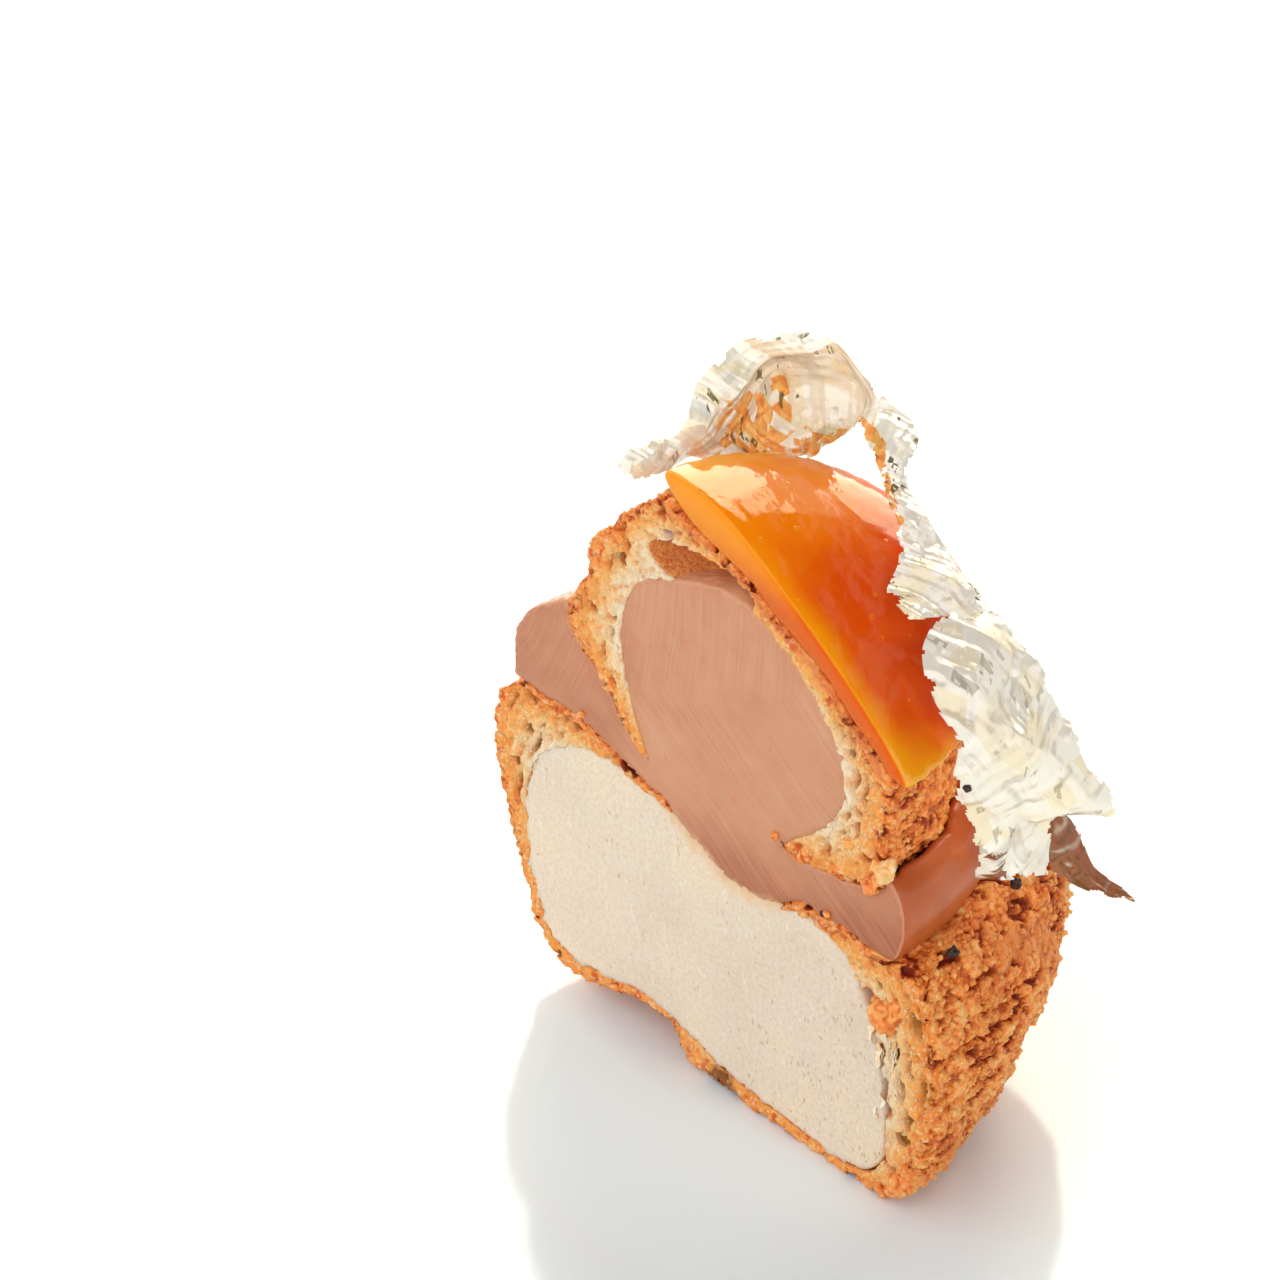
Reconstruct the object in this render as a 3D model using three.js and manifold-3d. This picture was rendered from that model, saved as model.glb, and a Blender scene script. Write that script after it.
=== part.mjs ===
// Half of a religieuse: a big and a small choux bun, cut through the middle, with their two fillings.
// The cut face lies in one upright plane. Outlines are given on that plane, as [x, z] in millimetres:
// x runs along the cut face from the middle of the big bun, z up from the table. y runs into the food.
import * as THREE from 'three';
import { mergeVertices } from 'three/addons/utils/BufferGeometryUtils.js';
import { ImprovedNoise } from 'three/addons/math/ImprovedNoise.js';
import Module from 'manifold-3d';

// Driving dimensions, in millimetres and degrees.
const GAP = 0.3; // clearance between touching pieces
const REST_POINT = { x: 8, y: 12 }; // middle of the patch that stands on the table, the part's origin
const BIG_BUN = { depth: 1.17, rows: 32, around: 80, crag: 1.5, taper: 0.2 };
const SMALL_BUN = { depth: 1.0, rows: 26, around: 64, crag: 1.2, lean: 14 };
const GLAZE = {
  centre: [10.3, 62], radius: 20.9, depth: 1.08, lean: 28.8, // depth is its reach into the food over its radius
  crest: 4.3, middle: 4, sag: 2.6, // heights over and under the plane of its rim
};
const THINNEST_CRUST = 1.7; // of the big bun over its filling, before its cracks
const FILLING_GAP = 0.45; // between the crust and the filling
const RELIEF = { lumps: 6, crags: 2.7, cracks: 5, crackWidth: 0.12, deepestCrack: 0.6 };
const HOLLOW = { centre: [-1.6, 62.4], radii: [8, 8, 2.6], tilt: -4 }; // above the cream
const LEAF = {
  thickness: 0.35, crumple: 0.5, crumpleSize: 2.2,
  ragged: 0.16, // deepest tear, as a share of the width
  tears: 17, // along each edge
  probe: 0.01, // share of the length over which its direction is taken
};
const CUTTER = 200; // side of the blocks that trim the half and its base

const wasm = await Module();
wasm.setup();
const noise = new ImprovedNoise();

// A merged closed geometry as a solid that can be joined and cut.
function solidOf(geometry) {
  const bare = geometry.clone();
  bare.deleteAttribute('normal');
  bare.deleteAttribute('uv');
  const merged = mergeVertices(bare, 1e-4);
  return new wasm.Manifold(new wasm.Mesh({
    numProp: 3,
    vertProperties: merged.attributes.position.array,
    triVerts: new Uint32Array(merged.index.array),
  }));
}

function geometryOf(solid) {
  const { vertProperties, triVerts } = solid.getMesh();
  const geometry = new THREE.BufferGeometry();
  geometry.setAttribute('position', new THREE.BufferAttribute(vertProperties, 3));
  geometry.setIndex(new THREE.BufferAttribute(triVerts, 1));
  geometry.computeVertexNormals();
  return geometry;
}

// A block with one face through the origin: everything in front of the cut plane, or under the table.
function halfSpace(y, z) {
  const block = new THREE.BoxGeometry(CUTTER, CUTTER, CUTTER);
  block.translate(0, y * CUTTER / 2, z * CUTTER / 2);
  return solidOf(block);
}
const inFront = halfSpace(-1, 0);
const underTable = halfSpace(0, -1);

// Rises from 0 to 1 between two values, or falls when the first is the larger.
function ramp(from, to, value) {
  const share = THREE.MathUtils.clamp((value - from) / (to - from), 0, 1);
  return share * share * (3 - 2 * share);
}

// One side of an outline in the body's leaning frame, as evenly spaced points from the top of the
// axis to its bottom. u is the distance from the axis, v the height along it.
function sideOf({ centre, lean, top, bottom, rows }, outline, side) {
  const angle = THREE.MathUtils.degToRad(lean);
  const points = outline.map(([x, z]) => {
    const dx = x - centre[0];
    const dz = z - centre[1];
    const u = dx * Math.cos(angle) - dz * Math.sin(angle);
    const v = dx * Math.sin(angle) + dz * Math.cos(angle);
    return new THREE.Vector2(u * side, v);
  });
  points.unshift(new THREE.Vector2(0, top));
  points.push(new THREE.Vector2(0, bottom));
  return new THREE.SplineCurve(points).getSpacedPoints(rows);
}

// A closed round body whose outline differs on its right and left. The two sides blend into each other
// around the axis; near the base the right side reaches further round, so that the bun stands on it.
function roundBody(form, { grow = 0, relief = null } = {}) {
  const { centre, lean = 0, depth = 1, taper = 0, rows, around, baseHeight = -1000 } = form;
  const right = sideOf({ lean, ...form }, form.right, 1);
  const left = sideOf({ lean, ...form }, form.left, -1);
  const angle = THREE.MathUtils.degToRad(lean);
  const positions = [];
  for (let row = 0; row <= rows; row++) {
    const atPole = row === 0 || row === rows;
    for (let step = 0; step < (atPole ? 1 : around); step++) {
      const turn = (step + 0.5) / around * 2 * Math.PI; // no vertex lies in the cut plane
      const leftShare = (1 - Math.cos(turn)) / 2;
      const baseShare = ramp(baseHeight + 6, baseHeight, right[row].y);
      const reach = depth * (1 - taper * ramp(baseHeight + 16, baseHeight - 2, right[row].y));
      const heightShare = THREE.MathUtils.lerp(leftShare, leftShare ** 8, baseShare);
      const blend = (index, share, key) => THREE.MathUtils.lerp(right[index][key], left[index][key], share);
      let u = blend(row, leftShare, 'x');
      let v = blend(row, heightShare, 'y');
      const before = Math.max(row - 1, 0);
      const after = Math.min(row + 1, rows);
      const du = blend(after, leftShare, 'x') - blend(before, leftShare, 'x');
      const dv = blend(after, leftShare, 'y') - blend(before, leftShare, 'y');
      const length = Math.hypot(du, dv);
      const outward = atPole ? [0, row === 0 ? 1 : -1] : [-dv / length, du / length];
      const place = (a, b) => [
        centre[0] + a * Math.cos(turn) * Math.cos(angle) + b * Math.sin(angle),
        a * Math.sin(turn) * reach,
        centre[1] - a * Math.cos(turn) * Math.sin(angle) + b * Math.cos(angle),
      ];
      const height = grow + (relief ? relief(...place(u, v), v) : 0);
      u += outward[0] * height;
      v += outward[1] * height;
      positions.push(...place(Math.max(u, atPole ? 0 : 0.05), v));
    }
  }
  return closedGrid(positions, rows, around);
}

// Faces of a grid of rings with a single vertex at each pole.
function closedGrid(positions, rows, around) {
  const index = [];
  const ring = (row, step) => 1 + (row - 1) * around + step % around;
  const last = 1 + (rows - 1) * around;
  for (let step = 0; step < around; step++) {
    index.push(0, ring(1, step), ring(1, step + 1));
    index.push(last, ring(rows - 1, step + 1), ring(rows - 1, step));
    for (let row = 1; row < rows - 1; row++) {
      index.push(ring(row, step), ring(row + 1, step), ring(row + 1, step + 1));
      index.push(ring(row, step), ring(row + 1, step + 1), ring(row, step + 1));
    }
  }
  const geometry = new THREE.BufferGeometry();
  geometry.setAttribute('position', new THREE.Float32BufferAttribute(positions, 3));
  geometry.setIndex(index);
  return solidOf(geometry);
}

// Noise with features of a size in millimetres.
function noiseAt(x, y, z, size) {
  return noise.noise(x / size, y / size, z / size);
}

// Relief of the baked crust: broad lumps, small crags and the cracks between them.
function crust(crag, from, to) {
  return (x, y, z, height) => {
    const lumps = noiseAt(x, y, z, RELIEF.lumps);
    const crags = noiseAt(x + 18.9, y, z, RELIEF.crags); // shifted, so that the layers differ
    const vein = Math.abs(noiseAt(x, y + 55, z, RELIEF.cracks));
    const crack = Math.max(0, 1 - vein / RELIEF.crackWidth);
    const shown = ramp(from, from - 4, height) * ramp(to, to + 4, height);
    return Math.max(crag * shown * (lumps + crags * 0.9 - crack * 0.7), -RELIEF.deepestCrack);
  };
}

// Big bun: a barrel with a flat top under the collar, standing on the right part of its base.
const bigBun = {
  ...BIG_BUN, centre: [0, 18], top: 14, bottom: -18.7, baseHeight: -15,
  right: [[12, 30], [19, 31], [24, 30.6], [27.6, 31.2], [31.2, 28.7], [33.4, 22], [33.2, 16.5],
    [31.6, 10], [30.2, 5], [28, 1.2], [22, -0.5], [12, -0.8]],
  left: [[-12, 33.4], [-20, 35.6], [-25.5, 35.4], [-29.3, 35.6], [-32.8, 31], [-33, 24], [-31.8, 17],
    [-29.2, 10.5], [-27.4, 5], [-24.5, 2.3], [-19.5, 2], [-13, 3.8], [-7, 4], [-3, -0.4]],
};

// Small bun: leans to the right with a flat top under the glaze and a hole in its base.
const smallBun = {
  ...SMALL_BUN, centre: [3, 50], top: 15.4, bottom: -15.4,
  right: [[7.2, 63.9], [15.1, 60.3], [21.6, 56], [25.4, 52.4], [25.8, 48], [25.6, 42], [24.2, 37.8],
    [19, 36.4], [13, 35.2], [8.7, 35.4]],
  left: [[-2, 67.4], [-6.6, 69], [-10, 67.2], [-13.8, 62.8], [-17.6, 59.6], [-19.5, 53.5],
    [-21.3, 47.2], [-17.4, 43.2], [-14, 38.4], [-9, 35.2], [-4, 34.8]],
};

// Cream inside the small bun, with the waist where it passes through both buns.
const creamCore = {
  centre: [2, 45], top: 17.2, bottom: -17.2, depth: 1, rows: 18, around: 40,
  right: [[7.2, 61.4], [13, 57.9], [18, 52.2], [19.3, 47.5], [17.6, 43.4], [13, 38.8], [9.6, 36.2],
    [9.4, 33.4], [11.2, 30], [7, 27.7]],
  left: [[-4.5, 59.8], [-10.5, 57], [-13.3, 50.8], [-12.9, 45.2], [-11, 39.4], [-9, 35.4],
    [-7.4, 33], [-5.6, 31.2], [-1.4, 29.3]],
};

// Piped collar of the same cream round the small bun, flat where it lies between the buns.
const collar = {
  centre: [0, 40], lean: 6, top: 9, bottom: -11, depth: 1.1, rows: 16, around: 40,
  right: [[18, 44.5], [24.6, 41], [27.4, 38.6], [28.1, 36], [27.9, 33.8], [27.2, 31.4], [20, 28]],
  left: [[-14, 51.5], [-20.9, 49.5], [-25.1, 46.5], [-28.6, 43.6], [-30.1, 40.2], [-30.1, 38],
    [-29.5, 35.6], [-24, 31]],
};

// Pale filling that fills the big bun up to the cream.
const paleFilling = {
  centre: [-1, 16], top: 15.4, bottom: -12.4, depth: 1.17, rows: 18, around: 44,
  right: [[8, 29.4], [14, 28.8], [18.7, 27.9], [21.6, 24.6], [24, 19.2], [25.3, 11], [25.2, 4.6],
    [22.4, 1.7], [13.3, 1.9], [5, 2.4]],
  left: [[-10, 31.4], [-17.7, 32.1], [-23.1, 29.8], [-27.4, 25.6], [-28.5, 20.6], [-27.9, 13],
    [-26, 6.4], [-22.1, 3.4], [-17, 4], [-10, 5.8], [-5, 5.2]],
};

// Clear glaze disc: a shallow dome, thickest on its left, whose underside follows the small bun.
function glazeForm() {
  const { radius, crest, middle, sag, lean, centre, depth } = GLAZE;
  const angle = THREE.MathUtils.degToRad(lean);
  const onDisc = (u, v) => [
    centre[0] + u * Math.cos(angle) + v * Math.sin(angle),
    centre[1] - u * Math.sin(angle) + v * Math.cos(angle),
  ];
  const rim = [[1, 0.05], [0.97, -0.12], [0.6, -0.5]];
  const overLeft = [[0.5, 1], [0.78, 0.7], [0.93, 0.35]];
  const overRight = [[0.26, 0.84], [0.5, 0.7], [0.7, 0.54], [0.86, 0.34]];
  const side = (way, over) => [...over, ...rim].map(([reach, rise]) =>
    onDisc(way * reach * radius, rise * (rise > 0 ? crest : sag)));
  return {
    centre, lean, depth, top: middle, bottom: -sag, rows: 12, around: 48,
    right: side(1, overRight), left: side(-1, overLeft),
  };
}

const bigCrust = crust(BIG_BUN.crag, 17, -16);
const smallCrust = crust(SMALL_BUN.crag, 14, -16);
const bigOuter = roundBody(bigBun, { relief: bigCrust }).subtract(underTable);
const bigClear = roundBody(bigBun, { relief: bigCrust, grow: GAP });
const smallOuter = roundBody(smallBun, { relief: smallCrust });
const smallClear = roundBody(smallBun, { relief: smallCrust, grow: GAP });
const core = roundBody(creamCore);
const coreClear = roundBody(creamCore, { grow: GAP });

// The filling, kept inside the crust, or the room that it needs when it grows by a gap.
function fillingGrownBy(grow) {
  const room = roundBody({ ...bigBun, rows: 16, around: 36 }, { grow: grow - THINNEST_CRUST - GAP });
  return roundBody(paleFilling, { grow }).intersect(room).subtract(coreClear);
}

// Hollow that the cream leaves under the top of the small bun.
function hollowAboveCream() {
  const hollow = new THREE.SphereGeometry(1, 24, 14);
  hollow.scale(...HOLLOW.radii);
  hollow.rotateY(THREE.MathUtils.degToRad(HOLLOW.tilt));
  hollow.translate(HOLLOW.centre[0], 0, HOLLOW.centre[1]);
  return solidOf(hollow);
}

// Edges of the gold leaf, as pairs of points [x, y, z] on its lower and upper edge, with how far the
// leaf bulges between them: towards the cut face where positive.
const leafCrown = { along: 42, across: 5, stations: [
  [[-10.4, -2.3, 70.3], [-11.7, -1.7, 71.3], 0], [[-10, -0.3, 69.9], [-11.9, 1.4, 72.6], 0.4],
  [[-10, 3.4, 69.4], [-10.6, 5.5, 72.6], 0.4], [[-10.4, 7, 68.4], [-11.6, 9.4, 77.2], 0.8],
  [[-9, 10.5, 67.4], [-10.3, 13.9, 79.2], -1.5], [[-7.2, 14.8, 66.4], [-8.2, 18.7, 79.8], -3],
  [[-4.3, 19, 67], [-4.9, 22, 78.5], -2], [[-0.7, 19.6, 72.6], [1.4, 22, 75.2], 0],
  [[3.5, 17.8, 72.5], [6, 22.5, 73.4], 0.8], [[8.1, 15.6, 70.8], [8.7, 18.3, 70.9], 0.5],
  [[11.6, 14, 68.2], [11.9, 18.3, 66.6], 0.5], [[13.5, 12.5, 66], [15.4, 18.7, 64.2], 0.7],
  [[15.1, 9.6, 64.7], [19.1, 18.9, 62.4], 0.7], [[19.1, 8.6, 63.4], [21.9, 18, 62], 0.4],
] };
const leafSheet = { along: 20, across: 10, stations: [
  [[19.3, 12.2, 62.6], [20.2, 20, 60.2], 0], [[21.6, 8, 61.4], [25.7, 19.9, 57.8], 0.8],
  [[24.9, 6.2, 58.5], [29, 21, 51.8], 1], [[27.8, 7.1, 54.9], [30.9, 22.7, 46.3], 1],
  [[27.3, 7, 49.2], [32.4, 25, 39.8], 1], [[27.2, 9.6, 43.1], [28.3, 21, 38.8], 0.6],
  [[27.4, 10.5, 35.9], [28.1, 19.7, 32.5], 0.4],
] };
const leafTail = { along: 8, across: 3, stations: [
  [[26.4, 19, 35], [24.7, 22.6, 38.4], 0.3], [[27.8, 20.6, 32.2], [27, 24.8, 35], 0.6],
  [[30.1, 23, 29.9], [29.4, 25.2, 31.1], 0.2], [[33.2, 26.9, 27.8], [32.9, 27.9, 28.1], 0],
] };

// A thin crumpled leaf between two edges, with ragged borders. Both faces are the same grid.
function leafBetween({ stations, along, across }) {
  const edge = (side) => new THREE.CatmullRomCurve3(
    stations.map((station) => new THREE.Vector3(...station[side])), false, 'centripetal');
  const low = edge(0);
  const high = edge(1);
  const bulge = new THREE.SplineCurve(stations.map((station, at) => new THREE.Vector2(at, station[2])));
  const pointAt = (t, s) => low.getPoint(t).lerp(high.getPoint(t), s);
  const front = [];
  const back = [];
  for (let i = 0; i <= along; i++) {
    const t = i / along;
    const lowCut = LEAF.ragged * Math.abs(noise.noise(t * LEAF.tears, 3, along));
    const highCut = LEAF.ragged * Math.abs(noise.noise(t * LEAF.tears, 9, along));
    for (let j = 0; j <= across; j++) {
      const s = THREE.MathUtils.lerp(lowCut, 1 - highCut, j / across);
      const point = pointAt(t, s);
      const ahead = pointAt(Math.min(t + LEAF.probe, 1), s);
      const alongEdge = ahead.sub(pointAt(Math.max(t - LEAF.probe, 0), s));
      const normal = alongEdge.cross(high.getPoint(t).sub(low.getPoint(t))).normalize();
      const crumple = LEAF.crumple * noiseAt(...point, LEAF.crumpleSize);
      point.addScaledVector(normal, bulge.getPoint(t).y * Math.sin(Math.PI * s) + crumple);
      front.push(...point.clone().addScaledVector(normal, LEAF.thickness / 2));
      back.push(...point.addScaledVector(normal, -LEAF.thickness / 2));
    }
  }
  return closedSheet(front, back, along, across);
}

// Faces of two matching grids, joined round their borders.
function closedSheet(front, back, along, across) {
  const index = [];
  const width = across + 1;
  const behind = (along + 1) * width;
  for (let i = 0; i < along; i++) {
    for (let j = 0; j < across; j++) {
      const a = i * width + j;
      index.push(a, a + width, a + width + 1, a, a + width + 1, a + 1);
      index.push(behind + a, behind + a + width + 1, behind + a + width);
      index.push(behind + a, behind + a + 1, behind + a + width + 1);
    }
  }
  const border = [];
  for (let i = 0; i < along; i++) border.push(i * width);
  for (let j = 0; j < across; j++) border.push(along * width + j);
  for (let i = along; i > 0; i--) border.push(i * width + across);
  for (let j = across; j > 0; j--) border.push(j);
  border.forEach((vertex, at) => {
    const next = border[(at + 1) % border.length];
    index.push(vertex, behind + vertex, behind + next, vertex, behind + next, next);
  });
  const geometry = new THREE.BufferGeometry();
  geometry.setAttribute('position', new THREE.Float32BufferAttribute([...front, ...back], 3));
  geometry.setIndex(index);
  return solidOf(geometry);
}

const solids = {
  big_bun_crust: {
    solid: bigOuter.subtract(fillingGrownBy(FILLING_GAP)).subtract(coreClear),
    colour: 0xc97f45, roughness: 0.85,
  },
  pale_filling: {
    solid: fillingGrownBy(0),
    colour: 0xe8dccb, roughness: 0.6,
  },
  chocolate_cream: {
    solid: roundBody(collar).subtract(bigClear).subtract(smallClear).add(core),
    colour: 0xd0987a, roughness: 0.45,
  },
  small_bun_crust: {
    solid: smallOuter.subtract(coreClear).subtract(hollowAboveCream()),
    colour: 0xc97f45, roughness: 0.85,
  },
  orange_glaze: {
    solid: roundBody(glazeForm()).subtract(smallClear),
    colour: 0xf08a10, roughness: 0.08,
  },
  gold_leaf_crown: {
    solid: leafBetween(leafCrown),
    colour: 0xd9c48a, roughness: 0.25, metalness: 1,
  },
  gold_leaf_sheet: {
    solid: leafBetween(leafSheet),
    colour: 0xd9c48a, roughness: 0.25, metalness: 1,
  },
  gold_leaf_tail: {
    solid: leafBetween(leafTail),
    colour: 0xd9c48a, roughness: 0.25, metalness: 1,
  },
};

const religieuse = new THREE.Group();
for (const [name, { solid, colour, roughness, metalness = 0 }] of Object.entries(solids)) {
  const material = new THREE.MeshStandardMaterial({ color: colour, roughness, metalness });
  const trimmed = metalness ? solid : solid.subtract(inFront);
  const mesh = new THREE.Mesh(geometryOf(trimmed), material);
  mesh.name = name;
  mesh.position.set(-REST_POINT.x, -REST_POINT.y, 0);
  religieuse.add(mesh);
}

export default religieuse;
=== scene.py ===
# Half a religieuse: a big and a small choux bun cut through, their fillings, an orange glaze and gold leaf.
# The cut face is the upright plane y = -12 mm. Sizes in the dictionaries are in millimetres.
import bpy
import bmesh
import math
import random
import numpy as np
from mathutils import Matrix, Vector, noise


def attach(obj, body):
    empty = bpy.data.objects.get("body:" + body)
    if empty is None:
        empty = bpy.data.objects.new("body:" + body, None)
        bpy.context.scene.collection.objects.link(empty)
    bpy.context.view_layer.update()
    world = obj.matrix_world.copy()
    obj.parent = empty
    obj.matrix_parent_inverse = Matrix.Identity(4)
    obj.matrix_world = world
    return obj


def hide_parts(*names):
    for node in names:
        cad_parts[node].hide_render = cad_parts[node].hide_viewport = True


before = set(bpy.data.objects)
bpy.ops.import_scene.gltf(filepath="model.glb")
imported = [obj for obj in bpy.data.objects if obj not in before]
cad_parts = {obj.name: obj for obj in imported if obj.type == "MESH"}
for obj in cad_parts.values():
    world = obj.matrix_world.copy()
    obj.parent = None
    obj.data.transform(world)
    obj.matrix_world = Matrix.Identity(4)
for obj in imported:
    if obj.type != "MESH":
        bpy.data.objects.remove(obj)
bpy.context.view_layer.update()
scene = bpy.context.scene
mm = 0.001
cutPlane = -12 * mm  # where the knife went, along y


def link(thing):
    scene.collection.objects.link(thing)
    return thing


def srgb(red, green, blue):  # 0-255 as seen on screen, to the linear colour a shader wants
    linear = [((c / 255 + 0.055) / 1.055) ** 2.4 if c > 10 else c / 255 / 12.92 for c in (red, green, blue)]
    return (*linear, 1.0)


bench = {"tree": None}  # the node tree that is being built


class Field:  # an output of a node; arithmetic on it adds the node that works it out
    def __init__(self, socket):
        self.socket = socket
        self.isVector = socket.type in ("VECTOR", "RGBA")

    def __add__(self, other):
        return arithmetic("ADD", self, other)

    def __radd__(self, other):
        return arithmetic("ADD", other, self)

    def __sub__(self, other):
        return arithmetic("SUBTRACT", self, other)

    def __rsub__(self, other):
        return arithmetic("SUBTRACT", other, self)

    def __mul__(self, other):
        return arithmetic("MULTIPLY", self, other)

    def __truediv__(self, other):
        return arithmetic("DIVIDE", self, other)

    def __rtruediv__(self, other):
        return arithmetic("DIVIDE", other, self)

    def __pow__(self, other):
        return arithmetic("POWER", self, other)


class Node:
    def __init__(self, node):
        self.node = node

    def __getitem__(self, key):
        return Field(self.node.outputs[key])


def feed(node, feeds):  # each socket given as a value or as another node's output
    for key, value in feeds.items():
        if isinstance(value, Field):
            bench["tree"].links.new(value.socket, node.inputs[key])
        else:
            node.inputs[key].default_value = value


def put(kind, feeds=None, **settings):
    node = bench["tree"].nodes.new(kind)
    for key, value in settings.items():
        setattr(node, key, value)
    feed(node, feeds or {})
    return Node(node)


def calc(operation, *values):
    return put("ShaderNodeMath", dict(enumerate(values)), operation=operation)[0]


def vec(operation, *values):
    node = put("ShaderNodeVectorMath", dict(enumerate(values)), operation=operation)
    return node["Value" if operation in ("DOT_PRODUCT", "LENGTH") else "Vector"]


def arithmetic(operation, first, second):
    vectors = [isinstance(v, tuple) or isinstance(v, Field) and v.isVector for v in (first, second)]
    if vectors[0] != vectors[1]:
        return put("ShaderNodeVectorMath", {0: first, "Scale": second}, operation="SCALE")["Vector"]
    return vec(operation, first, second) if vectors[0] else calc(operation, first, second)


def split(vector):
    return put("ShaderNodeSeparateXYZ", {0: vector})


def join(**parts):
    return put("ShaderNodeCombineXYZ", parts)[0]


def between(share, low, high):  # straight mix of two numbers
    return put("ShaderNodeMix", {0: share, 2: low, 3: high}, data_type="FLOAT")[0]


def fade(value, start, end, low=0.0, high=1.0):  # smooth step from one value to another
    feeds = {0: value, 1: start, 2: end, 3: low, 4: high}
    return put("ShaderNodeMapRange", feeds, interpolation_type="SMOOTHSTEP")[0]


def blend(share, first, second, how="MIX"):  # colours: a node's output, three numbers to 255 or four to 1
    first, second = (srgb(*paint) if isinstance(paint, tuple) and len(paint) == 3 else paint
                     for paint in (first, second))
    return put("ShaderNodeMix", {"Factor": share, 6: first, 7: second}, data_type="RGBA", blend_type=how)[2]


def cloud(where, size, detail=2.0, rough=0.5, twist=0.0, key="Fac"):  # noise with a size in millimetres
    shape = {"Scale": 1000.0 / size, "Detail": detail, "Roughness": rough, "Distortion": twist}
    return put("ShaderNodeTexNoise", {"Vector": where, **shape})[key]


def drift(where, size, detail=2.0):  # a noise vector round zero
    return cloud(where, size, detail, key="Color") - (0.5, 0.5, 0.5)


def cells(where, size):
    return put("ShaderNodeTexVoronoi", {"Vector": where, "Scale": 1000.0 / size})["Distance"]


def inMetres(values):
    return tuple(value * mm for value in values)


def geometryTree(name, inputs):  # an input is given as the number it starts from or as its kind
    tree = bench["tree"] = bpy.data.node_groups.new(name, "GeometryNodeTree")
    tree.is_modifier = True
    tree.interface.new_socket("Geometry", in_out="INPUT", socket_type="NodeSocketGeometry")
    for label, value in inputs.items():
        kind = {float: "Float", int: "Int"}.get(type(value), value)
        socket = tree.interface.new_socket(label, in_out="INPUT", socket_type="NodeSocket" + kind)
        if kind != value:
            socket.default_value = value
    tree.interface.new_socket("Geometry", in_out="OUTPUT", socket_type="NodeSocketGeometry")
    return Node(tree.nodes.new("NodeGroupInput")), put("GeometryNodeInputPosition")[0]


def onFace(where, start=0.3, end=0.1):  # 1 on the cut face, falling to 0 a little behind it
    return fade(split(where)["Y"], cutPlane + start * mm, cutPlane + end * mm)


def moveBy(geometry, offset):
    return put("GeometryNodeSetPosition", {"Geometry": geometry, "Offset": offset})[0]


def endTree(geometry):
    feed(bench["tree"].nodes.new("NodeGroupOutput"), {0: geometry})
    return bench["tree"]


def addTree(piece, tree, values):  # a Geometry Nodes modifier, its inputs set by identifier
    modifier = piece.modifiers.new(tree.name, "NODES")
    modifier.node_group = tree
    idOf = {item.name: item.identifier for item in tree.interface.items_tree if item.in_out == "INPUT"}
    for label, value in values.items():
        modifier[idOf[label]] = value
    return modifier


def stored(name):
    return put("GeometryNodeInputNamedAttribute", {"Name": name}, data_type="FLOAT")[0]


def store(geometry, fields, kind="FLOAT"):
    for name, value in fields.items():
        feeds = {"Geometry": geometry, "Name": name, "Value": value}
        geometry = put("GeometryNodeStoreNamedAttribute", feeds, data_type=kind, domain="POINT")[0]
    return geometry


def settle(piece, name):  # bakes the modifiers and leaves one plain mesh
    bpy.context.view_layer.update()
    evaluated = piece.evaluated_get(bpy.context.evaluated_depsgraph_get())
    mesh = bpy.data.meshes.new_from_object(evaluated)
    old = piece.data
    piece.modifiers.clear()
    piece.data = mesh
    if old.users == 0:
        bpy.data.meshes.remove(old)
    piece.name = mesh.name = name
    mesh.shade_smooth()
    return piece


def solidCopy(node):  # the CAD solid with its corners joined
    made = bmesh.new()
    made.from_mesh(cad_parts[node].data)
    bmesh.ops.remove_doubles(made, verts=made.verts, dist=1e-6)
    made.normal_update()
    return made


def onCut(face):
    return face.normal.y < -0.99 and abs(face.calc_center_median().y - cutPlane) < 0.05 * mm


def keepFaces(node, name, test):  # an open helper sheet: the faces of a solid that pass a test
    made = solidCopy(node)
    bmesh.ops.delete(made, geom=[f for f in made.faces if not test(f)], context="FACES")
    return fromBmesh(made, name)


def fromBmesh(made, name):
    mesh = bpy.data.meshes.new(name)
    made.to_mesh(mesh)
    made.free()
    return link(bpy.data.objects.new(name, mesh))


def softSolid(node, name):  # the CAD solid with its facets rounded and its cut edge kept sharp
    made = solidCopy(node)
    crease = made.edges.layers.float.new("crease_edge")
    for edge in made.edges:
        if len({onCut(f) for f in edge.link_faces}) > 1:
            edge[crease] = 1.0
    piece = fromBmesh(made, name)
    rounding = piece.modifiers.new("rounding", "SUBSURF")
    rounding.levels = rounding.render_levels = 2
    return piece


def thicken(piece, thickness):
    skin = piece.modifiers.new("thickness", "SOLIDIFY")
    skin.thickness = thickness * mm
    skin.offset = 0
    settle(piece, piece.name)


def remesh(piece, voxel):
    modifier = piece.modifiers.new("voxels", "REMESH")
    modifier.mode = "VOXEL"
    modifier.voxel_size = voxel * mm
    modifier.use_smooth_shade = True


def discard(*things):
    for thing in things:
        mesh = thing.data
        bpy.data.objects.remove(thing)
        bpy.data.meshes.remove(mesh)


def unevenBall(name, levels, push):  # radius one millimetre
    made = bmesh.new()
    bmesh.ops.create_icosphere(made, subdivisions=levels, radius=mm)
    for vert in made.verts:
        vert.co *= 1 + 0.35 * push(vert.co)
    return fromBmesh(made, name)


def ballLumps(spot):
    return noise.noise(spot * 900 + Vector((1, 0, 0))) + 0.5 * noise.noise(spot * 2100)


def crystalLumps(spot):
    return noise.noise(spot * 1500)


def finishPiece(piece, slot, material, *nodes):
    piece.data.materials.clear()
    piece.data.materials.append(material)
    if nodes:
        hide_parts(*nodes)
    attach(piece, "root")
    piece.data.calc_loop_triangles()
    print(f"{piece.name}: {len(piece.data.loop_triangles)} triangles")


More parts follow.
